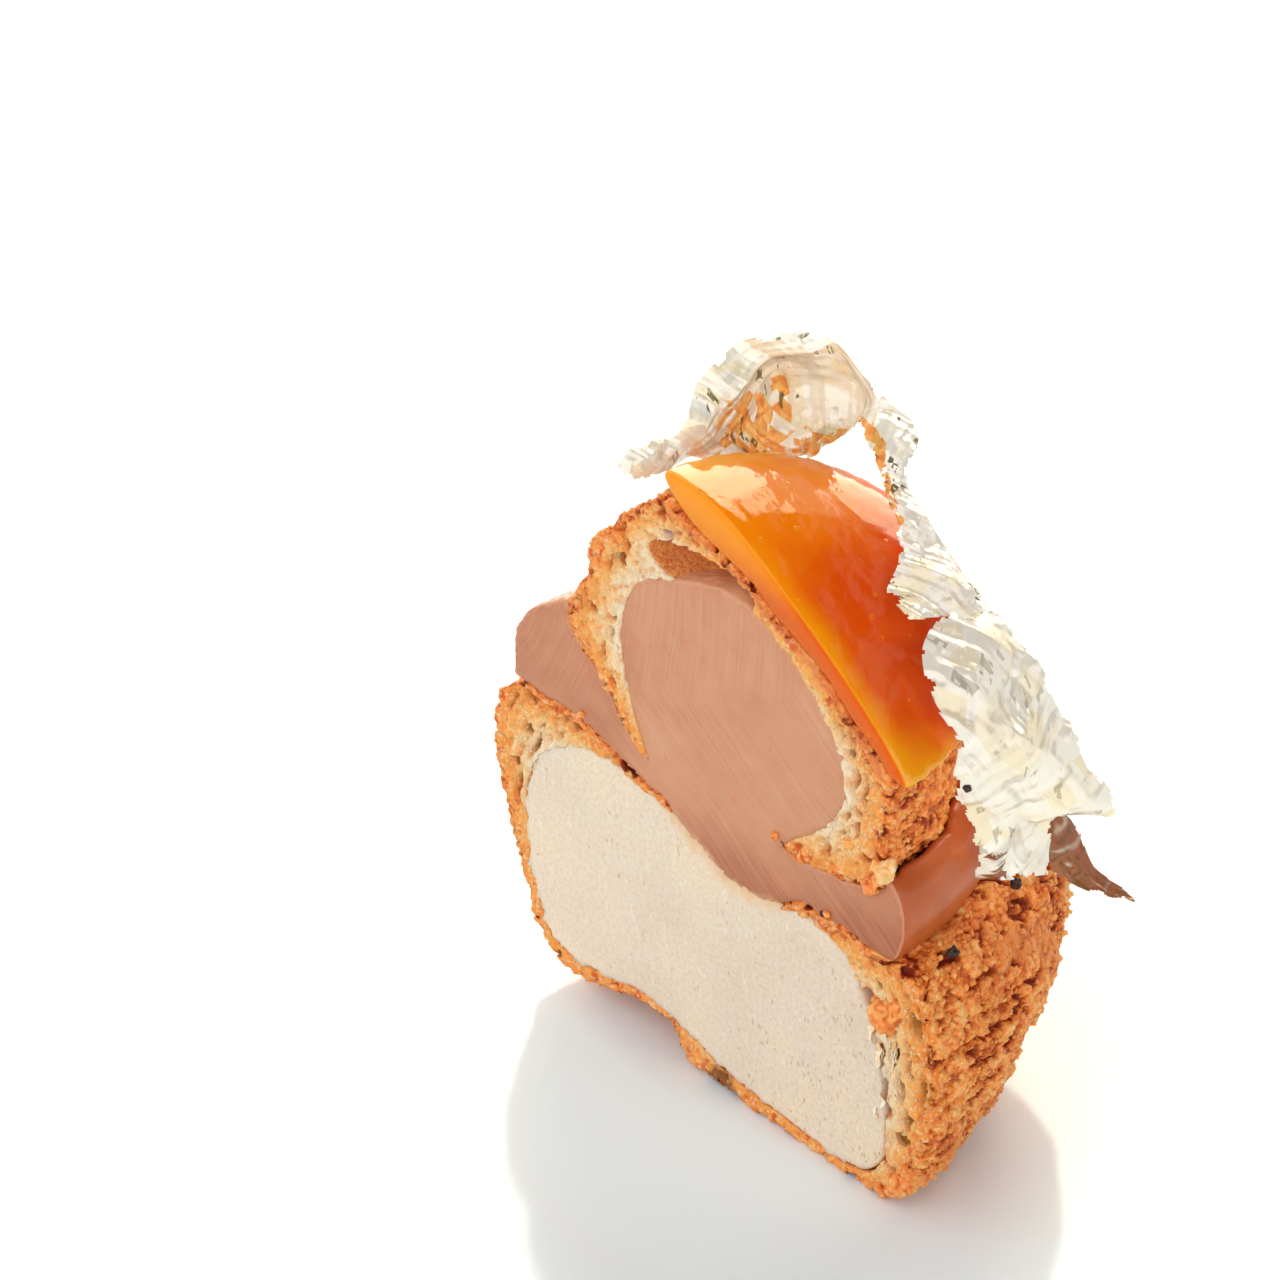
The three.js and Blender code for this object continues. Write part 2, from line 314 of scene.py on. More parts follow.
cameraValues = {
    "stands": (471.34, -443.6, 510.55),
    "aims": (-20.076, -10.678, 48.726),
    "roll": -0.563,  # degrees
    "lens": 225.0,
}


def placeCamera():
    data = bpy.data.cameras.new("camera")
    data.lens = cameraValues["lens"]
    data.sensor_width = 36
    data.clip_start = 0.01
    data.clip_end = 20
    camera = link(bpy.data.objects.new("camera", data))
    camera.location = Vector(cameraValues["stands"]) * mm
    forward = Vector(cameraValues["aims"]) * mm - camera.location
    turn = forward.to_track_quat("-Z", "Y").to_matrix().to_4x4()
    roll = Matrix.Rotation(math.radians(cameraValues["roll"]), 4, "Z")
    camera.matrix_world = Matrix.Translation(camera.location) @ turn @ roll
    scene.camera = camera


studio = {
    "floorSide": 3000.0,
    "floorColour": (0.86, 0.93, 0.96),
    "floorGloss": 0.1,
    "roomLight": 1.0,
    "frontLight": 1.28,  # white card in front of the cut face
    "sideLight": 1.5,  # and a lower one to its right
    "darkCeiling": 0.06,
    "dimCorner": 0.1,
    "softbox": 6.5,
    "softboxColour": (1.0, 0.97, 0.8, 1.0),
    "softboxTurn": (93.0, 150.0),  # degrees from x towards y
    "softboxRise": (8.0, 51.0),
    "softboxEnd": 0.62,  # how bright it still is at its near end
    "bar": (94.0, 41.0, 0.03),  # a dark curved bar across the softbox: its turn, rise and fall
}


def lightRoom():
    scene.view_settings.view_transform = "Standard"
    world = scene.world = bpy.data.worlds.new("studio")
    world.use_nodes = True
    bench["tree"] = world.node_tree
    world.node_tree.nodes.clear()
    parts = split(put("ShaderNodeTexCoord")["Generated"])
    turn = calc("DEGREES", calc("ARCTAN2", parts["Y"], parts["X"]))
    rise = calc("DEGREES", calc("ARCSINE", parts["Z"]))

    def window(value, start, end, soft):  # one between two angles, nothing outside them
        return fade(value, start - soft, start + soft) * fade(value, end + soft, end - soft)

    front = window(turn, -150.0, -40.0, 25.0) * window(rise, -5.0, 60.0, 15.0)
    dim = window(turn, 32.0, 90.0, 4.0) * window(rise, 10.0, 44.0, 4.0)
    dark = window(turn, -20.0, 140.0, 12.0) * fade(rise, 42.0, 50.0)
    dark = calc("MAXIMUM", dark, fade(rise, 62.0, 74.0))
    lamp = window(turn, *studio["softboxTurn"], 1.5) * window(rise, *studio["softboxRise"], 2.0)
    barTurn, barRise, barFall = studio["bar"]
    past = turn - barTurn
    fromBar = calc("ABSOLUTE", rise - barRise + past ** 2.0 * barFall)
    lamp = lamp * fade(fromBar, 3.0 + past * 0.15, 6.0 + past * 0.15)
    side = window(turn, -42.0, 28.0, 14.0) * window(rise, -10.0, 36.0, 12.0)
    weaker = fade(turn, 98.0, 116.0, studio["softboxEnd"], 1.0)
    level = studio["roomLight"]
    lights = ((front, studio["frontLight"]), (side, studio["sideLight"]), (dim, studio["dimCorner"]),
              (dark, studio["darkCeiling"]), (lamp, weaker * studio["softbox"]))
    for share, light in lights:
        level = between(share, level, light)
    warmth = blend(lamp, (1, 1, 1, 1), studio["softboxColour"])
    back = put("ShaderNodeBackground", {"Color": warmth, "Strength": level})
    put("ShaderNodeOutputWorld", {"Surface": back[0]})

    floorMesh = bmesh.new()
    bmesh.ops.create_grid(floorMesh, x_segments=1, y_segments=1, size=studio["floorSide"] / 2 * mm)
    floor = fromBmesh(floorMesh, "floor")
    paint = bpy.data.materials.new("white board")
    paint.use_nodes = True
    shader = paint.node_tree.nodes["Principled BSDF"]
    shader.inputs["Base Color"].default_value = (*studio["floorColour"], 1)
    shader.inputs["Roughness"].default_value = studio["floorGloss"]
    floor.data.materials.append(paint)


placeCamera()
lightRoom()
print("camera, floor and light stand")


def newMaterial(name):
    material = bpy.data.materials.new(name)
    material.use_nodes = True
    bench["tree"] = material.node_tree
    return material, material.node_tree.nodes["Principled BSDF"], put("ShaderNodeTexCoord")["Object"]


def attribute(name):
    return put("ShaderNodeAttribute", attribute_name=name)["Fac"]


def scaleOf(value, *stops):  # a colour ramp from (position, colour) stops
    ramp = put("ShaderNodeValToRGB", {"Fac": value})
    band = ramp.node.color_ramp
    while len(band.elements) < len(stops):
        band.elements.new(0.5)
    for element, (position, colour) in zip(band.elements, stops):
        element.position = position
        element.color = srgb(*colour)
    return ramp["Color"]


def coats(colour, look, *layers):  # each a share and the name of the colour that it lays over the rest
    for share, name in layers:
        colour = blend(share, colour, look[name])
    return colour


def dent(height, strength, distance):
    feeds = {"Height": height, "Strength": strength, "Distance": distance * mm}
    return put("ShaderNodeBump", feeds)["Normal"]


def waxy(weight, colour, depth):  # how light goes under the surface
    return {"Subsurface Weight": weight, "Subsurface Radius": colour, "Subsurface Scale": depth * mm}


crustLook = {
    # crevice and fold also carry painted shade, ridge and grain painted highlight; pit and hollow are painted
    # shade inside holes; the darkest brown paints a contact shadow at the foot
    "crevice": (134, 42, 10), "fold": (208, 98, 36), "skin": (253, 154, 74), "ridge": (254, 186, 108),
    "grain": (255, 224, 172), "toasted": (212, 114, 54),
    "rim": (253, 158, 74), "amber": (254, 182, 98), "crumb": (252, 210, 152), "pale": (250, 230, 200),
    "ember": (212, 76, 14), "honey": (240, 172, 96), "pit": (206, 128, 66), "hollow": (186, 128, 48),
    "scorch": (120, 62, 30), "lining": (224, 134, 84), "fringe": (250, 232, 214), "soaked": (224, 124, 76),
}


meanRadius = 18 * mm  # turns the angle round a bun into a length along its wall


def polar(where, core):  # radius from the middle of a bun and the way round it, on the cut face
    around = where - inMetres(core)
    parts = split(around)
    radius = vec("LENGTH", around)
    angle = calc("ARCTAN2", parts["Z"], parts["X"])
    return radius, angle * meanRadius, parts["Y"]


def granules(where, size):  # rounded grains with a tone of their own
    feeds = {"Vector": where, "Scale": 1000.0 / size}
    node = put("ShaderNodeTexVoronoi", feeds)
    tone = put("ShaderNodeSeparateColor", {0: node["Color"]})[0]
    return 1.0 - node["Distance"] ** 1.6, tone


# where the bun meets the floor: a painted contact shadow over a browner baked base
footShadowAt = (-6.5, -12, 0.4)  # a darker place at the foot


def bakedCrust(name, core, wall, soaked):  # soaked: how red the crumb is under what covers the bun
    look = crustLook
    material, shader, where = newMaterial(name)
    crag = attribute("crag")
    depth = attribute("depth")
    foam = attribute("foam")
    wobble = drift(where, 0.9)
    moved = where + wobble * (0.45 * mm)
    coarse, coarseTone = granules(moved, 0.85)
    fine, fineTone = granules(moved, 0.34)
    broad = cloud(where, 7.0)
    # the height ramp paints shade into the crevices and folds and highlights onto the ridges and grains, over
    # the real browning in the cracks
    height = crag + coarseTone * 0.22 + fineTone * 0.24 + coarse * 0.25 + broad * 0.5 - 0.68
    skin = scaleOf(height, (0.0, look["crevice"]), (0.18, look["fold"]), (0.42, look["skin"]),
                   (0.68, look["ridge"]), (0.95, look["grain"]))
    skin = blend(fade(cloud(where, 11.0), 0.5, 0.68, 0.0, 0.5), skin, look["toasted"])

    radius, alongWall, inward = polar(where, core)
    threads = join(X=radius, Y=alongWall * 0.22, Z=inward)
    fibre = cloud(threads, 0.42, 3.0, 0.6, 0.3)
    room = attribute("room")
    share = depth / (depth + room + 0.1)
    share = calc("MINIMUM", share, depth / wall)
    share = share + cloud(where, 1.5, 3.0) * 0.5 - 0.25
    crumb = scaleOf(share, (0.08, look["rim"]), (0.38, look["amber"]),
                    (0.62, look["crumb"]), (0.9, look["pale"]))
    ember = fade(cloud(where, 1.7), 0.54, 0.64) * fade(depth, 2.8, 1.2)
    crumb = coats(
        crumb, look, (fade(cloud(where, 2.4), 0.54, 0.64, 0.0, 0.6), "honey"),
        (fade(cloud(where, 0.8, 3.0, 0.6), 0.58, 0.66, 0.0, 0.6), "rim"), (ember * 0.8, "ember"))
    crumb = blend(fade(fibre, 0.55, 0.3, 0.0, 0.45), crumb, look["amber"], "MULTIPLY")
    # the pushed-in hollows on the cut face take the darker pit colour: painted shade
    crumb = coats(crumb, look, (fade(fineTone, 0.75, 0.9, 0.0, 0.5), "grain"),
                  (fade(foam, 0.35, 0.95, 0.0, 0.75), "pit"))
    parts = split(where)
    # holes are painted darker the further they run behind the cut face: painted shade
    sunk = fade(parts["Y"], cutPlane + 0.35 * mm, cutPlane + 1.3 * mm, 0.0, 0.85)
    hollow = blend(fade(parts["Z"], 33 * mm, 37 * mm), look["hollow"], look["pit"])
    crumb = blend(sunk, crumb, blend(fade(depth, 1.0, 3.0), look["fold"], hollow))
    cut = attribute("cut")
    tender = fade(room, 0.9, 0.4) * (1.0 - cut)
    lining = scaleOf(fibre * 0.7 + fineTone * 0.3, (0.35, look["lining"]), (0.75, look["amber"]))
    high = parts["Z"] + cloud(where, 1.0, 3.0) * (1.6 * mm)
    lining = blend(fade(high, 64.2 * mm, 65.4 * mm), lining, look["fringe"])
    crumb = blend(tender, crumb, lining)
    under = attribute("cover") + cloud(where, 1.2) * 1.6 - 0.8
    under = fade(under, 1.5, 0.5, 0.0, soaked) * (1.0 - tender)
    crumb = blend(under, crumb, look["soaked"])
    skinEnds, crumbStarts = fade(cut, 0.0, 1.0, 0.3, 0.1), fade(cut, 0.0, 1.0, 0.7, 0.35)
    inner = calc("MAXIMUM", fade(depth, skinEnds, crumbStarts), tender)
    colour = blend(inner, skin, crumb)
    # painted contact shadow at the foot
    toFootShadow = vec("LENGTH", where - inMetres(footShadowAt))
    toFootShadow = toFootShadow + cloud(where, 1.2) * (3 * mm) - 1.5 * mm
    colour = blend(fade(toFootShadow, 3.0 * mm, 1.6 * mm, 0.0, 0.8), colour, look["scorch"])

    bumps = coarse * 1.1 + fine * 0.22
    fibres = fibre * 1.1 + fine * 0.45
    relief = between(inner, bumps, fibres)
    feed(shader, {
        "Base Color": colour, "Roughness": fade(fineTone, 0.3, 0.8, 0.34, 0.62),
        "Normal": dent(relief, 0.85, 0.26), "Specular IOR Level": 0.22,
        **waxy(0.3, (1.0, 0.4, 0.15), 0.6),
    })
    return material


def sugarGrain(name):  # small crystals and crumbs that stand on the crust
    look = crustLook
    material, shader, where = newMaterial(name)
    tone = attribute("tone")
    inside = attribute("inside")
    # grains low in the crust's crevices get painted shade and high ones painted highlight, through a ramp
    # like the skin's
    height = attribute("shade") * 0.8 + tone * 0.5 + cloud(where, 7.0) * 0.5 - 0.45
    skin = scaleOf(height, (0.0, look["fold"]), (0.3, look["skin"]),
                   (0.65, look["ridge"]), (1.0, look["grain"]))
    skin = blend(fade(cloud(where, 11.0), 0.5, 0.68, 0.0, 0.5), skin, look["toasted"])
    crumb = scaleOf(inside + tone * 0.4 - 0.2, (0.1, look["rim"]), (0.35, look["amber"]),
                    (0.6, look["crumb"]), (0.85, look["pale"]))
    feed(shader, {
        "Base Color": blend(fade(inside, 0.05, 0.15), skin, crumb), "Roughness": 0.36,
        "Normal": dent(cloud(where, 0.3), 0.4, 0.1), "Specular IOR Level": 0.3,
        **waxy(0.4, (1.0, 0.4, 0.15), 0.6),
    })
    return material


fillingLook = {
    "base": (237, 220, 199), "warm": (243, 223, 194), "cool": (232, 213, 191), "speck": (200, 146, 98),
    "light": (252, 242, 226), "smear": (236, 190, 140),
}


def whippedFilling():
    look = fillingLook
    material, shader, where = newMaterial("pale praline filling")
    colour = scaleOf(cloud(where, 14.0), (0.3, look["cool"]), (0.5, look["base"]), (0.7, look["warm"]))
    feeds = {"Vector": where, "Rotation": (0, 0.5, 0), "Scale": (1.5, 1.0, 0.62)}
    leaning = put("ShaderNodeMapping", feeds)[0]
    parts = split(where)
    low = fade(parts["X"] - parts["Z"] * 0.9, -22 * mm, 4 * mm, -0.05, 0.1)
    rare = cloud(where, 3.0) + low
    frayed = cells(leaning, 0.85) + cloud(where, 0.35) * 0.3 - 0.15
    pit = fade(frayed, 0.28, 0.1) * fade(rare, 0.53, 0.6)
    drawn = cloud(leaning * (1.4, 1.0, 0.8), 1.5, 3.0, 0.6)
    nick = fade(drawn, 0.66, 0.72, 0.0, 0.7)
    grain = cloud(where, 0.5, 3.0, 0.6)
    dot = fade(cells(where, 1.3), 0.16, 0.08) * fade(cloud(where, 2.2, 1.0), 0.52, 0.6)
    beside = attribute("beside") + cloud(where, 1.6, 3.0, 0.6) * 2.4 - 1.2
    # pits and nicks, which the bump also sinks, are painted darker: painted shade; the scattered dots are
    # real specks
    colour = coats(
        colour, look, (calc("MAXIMUM", pit, nick) * 0.5, "speck"),
        (fade(drawn, 0.46, 0.3, 0.0, 0.4), "light"), (fade(grain, 0.6, 0.35, 0.0, 0.2), "speck"),
        (dot * 0.6, "speck"), (fade(beside, 2.2, 0.1, 0.0, 0.85), "smear"))
    feed(shader, {
        "Base Color": colour, "Roughness": 0.55, "Specular IOR Level": 0.4,
        "Normal": dent(grain * 0.35 - pit * 0.9 - nick + drawn * 0.9, 0.6, 0.14),
        **waxy(0.5, (1.0, 0.8, 0.6), 1.2),
    })
    return material


def knifeStrokes(where):  # upright and gently curved above, slanting down to the right below
    parts = split(where)
    x = parts["X"] * 1000.0
    z = parts["Z"] * 1000.0
    wander = (cloud(where, 9.0) - 0.5) * 2.0
    toLeft = (x + 75.0) ** 2.0
    arc = calc("SQRT", toLeft + (z - 62.0) ** 2.0)
    upright = arc + wander
    slant = x * 0.58 + z * 0.81 + wander
    above = fade(z + x * -0.5 + wander, 50.0, 56.0)
    strokes = [cloud(join(X=across * 3.2, Y=z * 0.08, Z=seed), 1000.0)
               for across, seed in ((slant, 40.0), (upright, 0.0))]
    return between(above, *strokes)


creamLook = {
    "cut": (211, 147, 110), "pale": (221, 164, 128), "neck": (200, 126, 86), "low": (150, 76, 42),
    "outside": (184, 88, 42), "sheen": (204, 108, 58), "smear": (216, 110, 54), "hidden": (226, 164, 126),
    "melted": (232, 182, 138),
}


def chocolateCream():
    look = creamLook
    material, shader, where = newMaterial("milk chocolate cream")
    cut = attribute("cut")
    streak = knifeStrokes(where)
    parts = split(where)
    broad = cloud(where, 10.0)
    lowness = fade(parts["Z"] + parts["X"] * -0.25, 39 * mm, 26 * mm)
    lowness = calc("MAXIMUM", lowness, fade(parts["X"], -17 * mm, -24 * mm, 0.0, 0.45))
    edgeHighlight = fade(calc("ABSOLUTE", cut - 0.5), 0.5, 0.3)
    tone = streak * 0.45 + broad * 0.35 + cloud(where, 2.5, 3.0) * 0.2
    upper = scaleOf(tone, (0.24, look["neck"]), (0.5, look["cut"]), (0.8, look["pale"]))
    lower = scaleOf(tone, (0.3, look["low"]), (0.7, look["neck"]))
    colour = blend(lowness, upper, lower)
    smear = fade(cloud(where * (1.6, 1.0, 0.6), 2.6, 2.0), 0.68, 0.76) * 0.4
    beside = attribute("beside") + cloud(where, 1.4, 3.0, 0.6) * 2.0 - 1.0
    colour = coats(colour, look, (smear, "smear"), (fade(beside, 1.1, 0.0, 0.0, 0.7), "melted"))
    outside = blend(fade(broad, 0.35, 0.65), look["outside"], look["sheen"])
    outside = blend(fade(parts["Z"], 44 * mm, 49 * mm), outside, look["hidden"])
    colour = blend(cut, outside, colour)
    # a lighter line along the cut edge: painted highlight
    colour = blend(edgeHighlight * 0.5, colour, look["pale"])
    fine = cloud(where, 0.6, 3.0)
    feed(shader, {
        "Base Color": colour, "Roughness": fade(cut, 0.0, 1.0, 0.26, 0.48), "Specular IOR Level": 0.4,
        "Normal": dent(streak + fine * 0.25, 0.45, 0.14),
        **waxy(0.3, (1.0, 0.45, 0.22), 0.9),
    })
    return material


glazeLook = {
    "deep": (228, 80, 0), "mid": (232, 92, 0), "edge": (252, 166, 0), "tip": (255, 172, 8),
    "crest": (252, 140, 0), "side": (224, 100, 0), "sideHigh": (252, 156, 24), "corner": (255, 190, 60),
}


def orangeGlaze():
    look = glazeLook
    material, shader, where = newMaterial("clear orange glaze")
    rim = attribute("rim") + cloud(where, 5.0) * 2.0 - 1.0
    foot = attribute("foot") + cloud(where, 3.0) - 0.5
    colour = scaleOf(rim / 8.0, (0.0, look["edge"]), (0.36, look["mid"]), (0.8, look["deep"]))
    parts = split(where)
    height = parts["Z"] + cloud(where, 6.0) * (4 * mm) - 2 * mm
    low = fade(height + attribute("rim") * (0.35 * mm), 58.5 * mm, 53.5 * mm, 0.0, 0.85)
    cut = attribute("cut")
    # a paler line along the top edge next to the cut face: painted highlight
    corner = fade(attribute("rim"), 0.5, 0.1) * (1.0 - cut)
    # the top is painted lighter and yellower where the softbox shines through it: painted light
    colour = coats(
        colour, look, (fade(foot, 1.6, 0.3, 0.0, 0.7), "tip"),
        (fade(height, 64.5 * mm, 70.5 * mm, 0.0, 0.9), "crest"), (low, "tip"),
        (fade(parts["X"], -9 * mm, -14 * mm, 0.0, 0.7), "tip"), (corner * 0.6, "corner"))
    side = blend(fade(height, 63 * mm, 71 * mm), look["side"], look["sideHigh"])
    colour = blend(cut, colour, side)
    drop = cells(where, 2.4)
    bubble = fade(drop, 0.15, 0.11) - fade(drop, 0.1, 0.06, 0.0, 0.7)
    soft = cloud(where, 2.2) + cloud(where, 0.8) * 0.45
    # pale rings round the bubbles: painted highlight
    colour = blend(bubble * 0.35, colour, look["tip"])
    feed(shader, {
        "Base Color": colour, "Roughness": fade(cut, 0.0, 1.0, 0.05, 0.4), "IOR": 1.62,
        "Specular Tint": blend(cut, (0.85, 1.0, 0.8, 1.0), (0.1, 0.1, 0.1, 1.0)),
        "Normal": dent(soft + bubble * 0.7, 0.2, 0.2),
        **waxy(0.8, (3.0, 0.8, 0.05), 1.0),
    })
    return material


leafLook = {
    # the orange stain colours paint the glaze's reflection, partly glaze stain; dark paints reflected
    # darkness
    "gold": (255, 249, 230), "shade": (253, 238, 202), "stain": (255, 184, 92),
    "deepStain": (242, 122, 26), "umber": (134, 58, 0), "dark": (84, 66, 30),
}
# Four ways that creases run: the direction across them, and how far apart they are
creaseWays = (
    (0.85, 0.4, 0.35, 1.0), (-0.25, 0.8, 0.55, 0.83), (0.45, -0.45, 0.77, 1.27), (0.1, 0.3, -0.95, 1.6))


def acrossCrease(where, size, way):
    return vec("DOT_PRODUCT", where, tuple(part * 1000 / size for part in way[:3])) + way[0]


def pleats(where, size):  # flat facets between long straight creases
    first, *others = [calc("PINGPONG", acrossCrease(where, size, way), way[3]) * 0.5 for way in creaseWays]
    for other in others:
        first = first + other
    return first - 1.2


def facetTone(where, size):  # one value for each facet between the creases
    steps = [calc("FLOOR", acrossCrease(where, size, way) / way[3]) for way in creaseWays]
    place = join(X=steps[0], Y=steps[1], Z=steps[2] + steps[3] * 7.0)
    return put("ShaderNodeTexWhiteNoise", {"Vector": place}, noise_dimensions="3D")["Value"]


def goldLeaf():
    look = leafLook
    material, shader, where = newMaterial("gold leaf")
    spot = put("ShaderNodeAttribute", attribute_name="spot")["Vector"]
    crumpled = attribute("crumpled")
    colour = blend(fade(facetTone(spot, 0.5), 0.5, 0.95), look["gold"], look["shade"])
    frayed = cloud(where, 2.2, 4.0, 0.6, 0.5)
    alongTail = vec("DOT_PRODUCT", where, (0.6, 0.35, -0.72))
    acrossTail = vec("DOT_PRODUCT", where, (0.78, 0.0, 0.62))
    streaks = join(X=acrossTail, Y=alongTail * 0.12)
    brown = blend(fade(cloud(streaks, 0.8), 0.52, 0.6), look["umber"], look["gold"])
    # orange on facets near the glaze: painted reflection of the glaze, partly glaze stain
    orange = blend(facetTone(spot, 0.2), look["deepStain"], look["stain"])
    for name, start, paint in (("stain", 0.86, orange), ("umber", 0.6, brown)):
        share = frayed * 0.8 + attribute(name) + facetTone(spot, 0.4) * 0.5 - 0.65
        colour = blend(fade(share, start - 0.03, start + 0.03, 0.0, 0.95), colour, paint)
    # dark facets in clusters: painted reflection of the dark ceiling, full strength on the crown and tail,
    # half on the sheet
    drawn = spot * (1.3, 1.3, 0.5)
    darkReflectionPatch = fade(facetTone(drawn, 0.25), 0.82, 0.85) * fade(facetTone(drawn, 0.11), 0.2, 0.3)
    darkReflectionPatch = darkReflectionPatch * fade(cloud(where, 3.4), 0.54, 0.57)
    colour = blend(darkReflectionPatch * (attribute("dull") * 0.92), colour, look["dark"])
    fine = pleats(spot, 0.36) * 0.45 + pleats(spot, 0.13) * 0.16
    relief = pleats(spot, 1.0) + fine * fade(crumpled, 0.0, 1.0, 0.45, 1.0)
    feed(shader, {
        "Base Color": colour, "Metallic": 0.2, "Roughness": 0.18, "Specular IOR Level": 0.4,
        "Normal": dent(relief, 1.0, 1.0),
        **waxy(0.28, (1.0, 0.85, 0.55), 0.6),
    })
    return material


def outwardOf(core, hollow=None):  # a face towards the middle of a hollow is no outer skin
    middle = Vector(core) * mm

    def test(face):
        centre = face.calc_center_median()
        if onCut(face) or face.normal.dot(centre - middle) <= 0:
            return False
        toHollow = Vector(hollow) * mm - centre if hollow else None
        return not hollow or toHollow.length > 9 * mm or face.normal.dot(toHollow) <= 0
    return test


def inwardOf(core, hollow=None):
    outward = outwardOf(core, hollow)
    return lambda face: not onCut(face) and not outward(face)


def nearest(target, where, element="FACES"):
    info = put("GeometryNodeObjectInfo", {"Object": target}, transform_space="RELATIVE")
    feeds = {0: info["Geometry"], "Sample Position": where}
    return put("GeometryNodeProximity", feeds, target_element=element)


def crustReliefTree():
    inputs, where = geometryTree("crust relief", {
        "Outer skin": "Object", "Inner skin": "Object", "Cover": "Object", "Core": "Vector",
        "Nugget size": 2.4, "Nugget height": 0.3, "Grain size": 0.9, "Grain height": 0.14,
        "Crevice size": 3.2, "Crevice depth": 1.0, "Crumb size": 1.7, "Crumb depth": 1.2,
    })
    outer = nearest(inputs["Outer skin"], where)
    inner = nearest(inputs["Inner skin"], where)
    cover = nearest(inputs["Cover"], where)
    cut = onFace(where, 0.35, 0.12)
    notCut = 1.0 - cut
    skin = fade(outer["Distance"], 1.0 * mm, 0.25 * mm)
    inside = fade(inner["Distance"], 0.3 * mm, 0.15 * mm) * notCut
    around = where - inputs["Core"]

    warp = drift(where, 2.4)
    moved = where + warp * (1.6 * mm)

    def sized(kind, socket, point, key, feeds=None, **settings):
        scale = 1000.0 / socket
        return put(kind, {"Vector": point, "Scale": scale, **(feeds or {})}, **settings)[key]

    rounded = (("Nugget size", 0.35), ("Grain size", 0.25))
    lumps, grainy = (sized("ShaderNodeTexVoronoi", inputs[size], moved, "Distance", {"Smoothness": soft},
                           feature="SMOOTH_F1") for size, soft in rounded)
    nugget = fade(lumps, 0.75, 0.15, -0.6, 0.4)
    grain = fade(grainy, 0.75, 0.1, -0.5, 0.5)
    level = moved * (0.6, 0.6, 1.7)  # the cracks run mostly level
    twist = {"Detail": 2.0, "Distortion": 0.5}
    vein = sized("ShaderNodeTexNoise", inputs["Crevice size"], level, "Fac", twist)
    crack = fade(calc("ABSOLUTE", vein - 0.5), 0.045, 0.008)
    where2 = level + (0.03, 0.01, 0.02)
    crack = crack * fade(cloud(where2, 4.0, 1.0), 0.46, 0.56)
    pock = fade(cloud(where2, 1.5, 1.0), 0.62, 0.70)
    crack = calc("MAXIMUM", crack, pock)
    lift = nugget * inputs["Nugget height"] + grain * inputs["Grain height"]
    lift = lift - crack * inputs["Crevice depth"]
    lift = lift * mm * (skin * (1.0 - inside))
    outwards = vec("NORMALIZE", around) * lift

    # the cut face is open crumb: thin walls round hollows that are drawn out along the bun's wall
    parts = split(around)
    alongWall = calc("ARCTAN2", parts["Z"], parts["X"]) * (meanRadius * 0.5)
    threads = join(X=vec("LENGTH", around), Y=alongWall, Z=0.0)
    threads = threads + warp * (1.4 * mm)
    web = sized("ShaderNodeTexVoronoi", inputs["Crumb size"], threads, "Distance", feature="DISTANCE_TO_EDGE")
    hollow = fade(web, 0.06, 0.3) * fade(cloud(where, 3.2), 0.4, 0.56)
    hollow = hollow * fade(outer["Distance"], 0.7 * mm, 1.6 * mm)
    hollow = hollow * fade(inner["Distance"], 0.3 * mm, 1.2 * mm)
    torn = fade(cloud(threads, 0.9, 3.0, 0.6), 0.42, 0.72, -0.1, 0.35)
    torn = torn + fade(cloud(where, 0.8, 2.0, 0.6), 0.4, 0.75, -0.15, 0.35)
    into = (torn + hollow * inputs["Crumb depth"]) * mm * cut
    # how high the skin stands, which the shaders turn into painted shade low down and painted highlight high
    # up
    crag = 0.5 + nugget * 0.25 + grain * 0.15 - crack * 0.55
    bare = fade(cover["Distance"], 0.4 * mm, 0.9 * mm)
    onSkin = fade(outer["Distance"], 0.5 * mm, 0.3 * mm) * notCut
    onSkin = onSkin * bare * fade(crack, 0.5, 0.2)
    onSkin = onSkin * (1.0 - inside)
    geometry = store(inputs["Geometry"], {
        "crag": crag, "cut": cut, "foam": hollow, "bare": onSkin, "depth": outer["Distance"] * 1000.0,
        "room": inner["Distance"] * 1000.0, "cover": cover["Distance"] * 1000.0})
    return endTree(moveBy(geometry, outwards + join(Y=into)))


def chance(low, high, seed):  # a random number, or a vector with such parts, for each point
    if isinstance(low, tuple):
        return put("FunctionNodeRandomValue", {0: low, 1: high, "Seed": seed}, data_type="FLOAT_VECTOR")[0]
    return put("FunctionNodeRandomValue", {2: low, 3: high, "Seed": seed}, data_type="FLOAT")[1]


def copies(thing, feeds):  # one on each point, made real
    shape = put("GeometryNodeObjectInfo", {"Object": thing})["Geometry"]
    many = put("GeometryNodeInstanceOnPoints", {"Instance": shape, **feeds})
    return put("GeometryNodeRealizeInstances", {0: many[0]})[0]


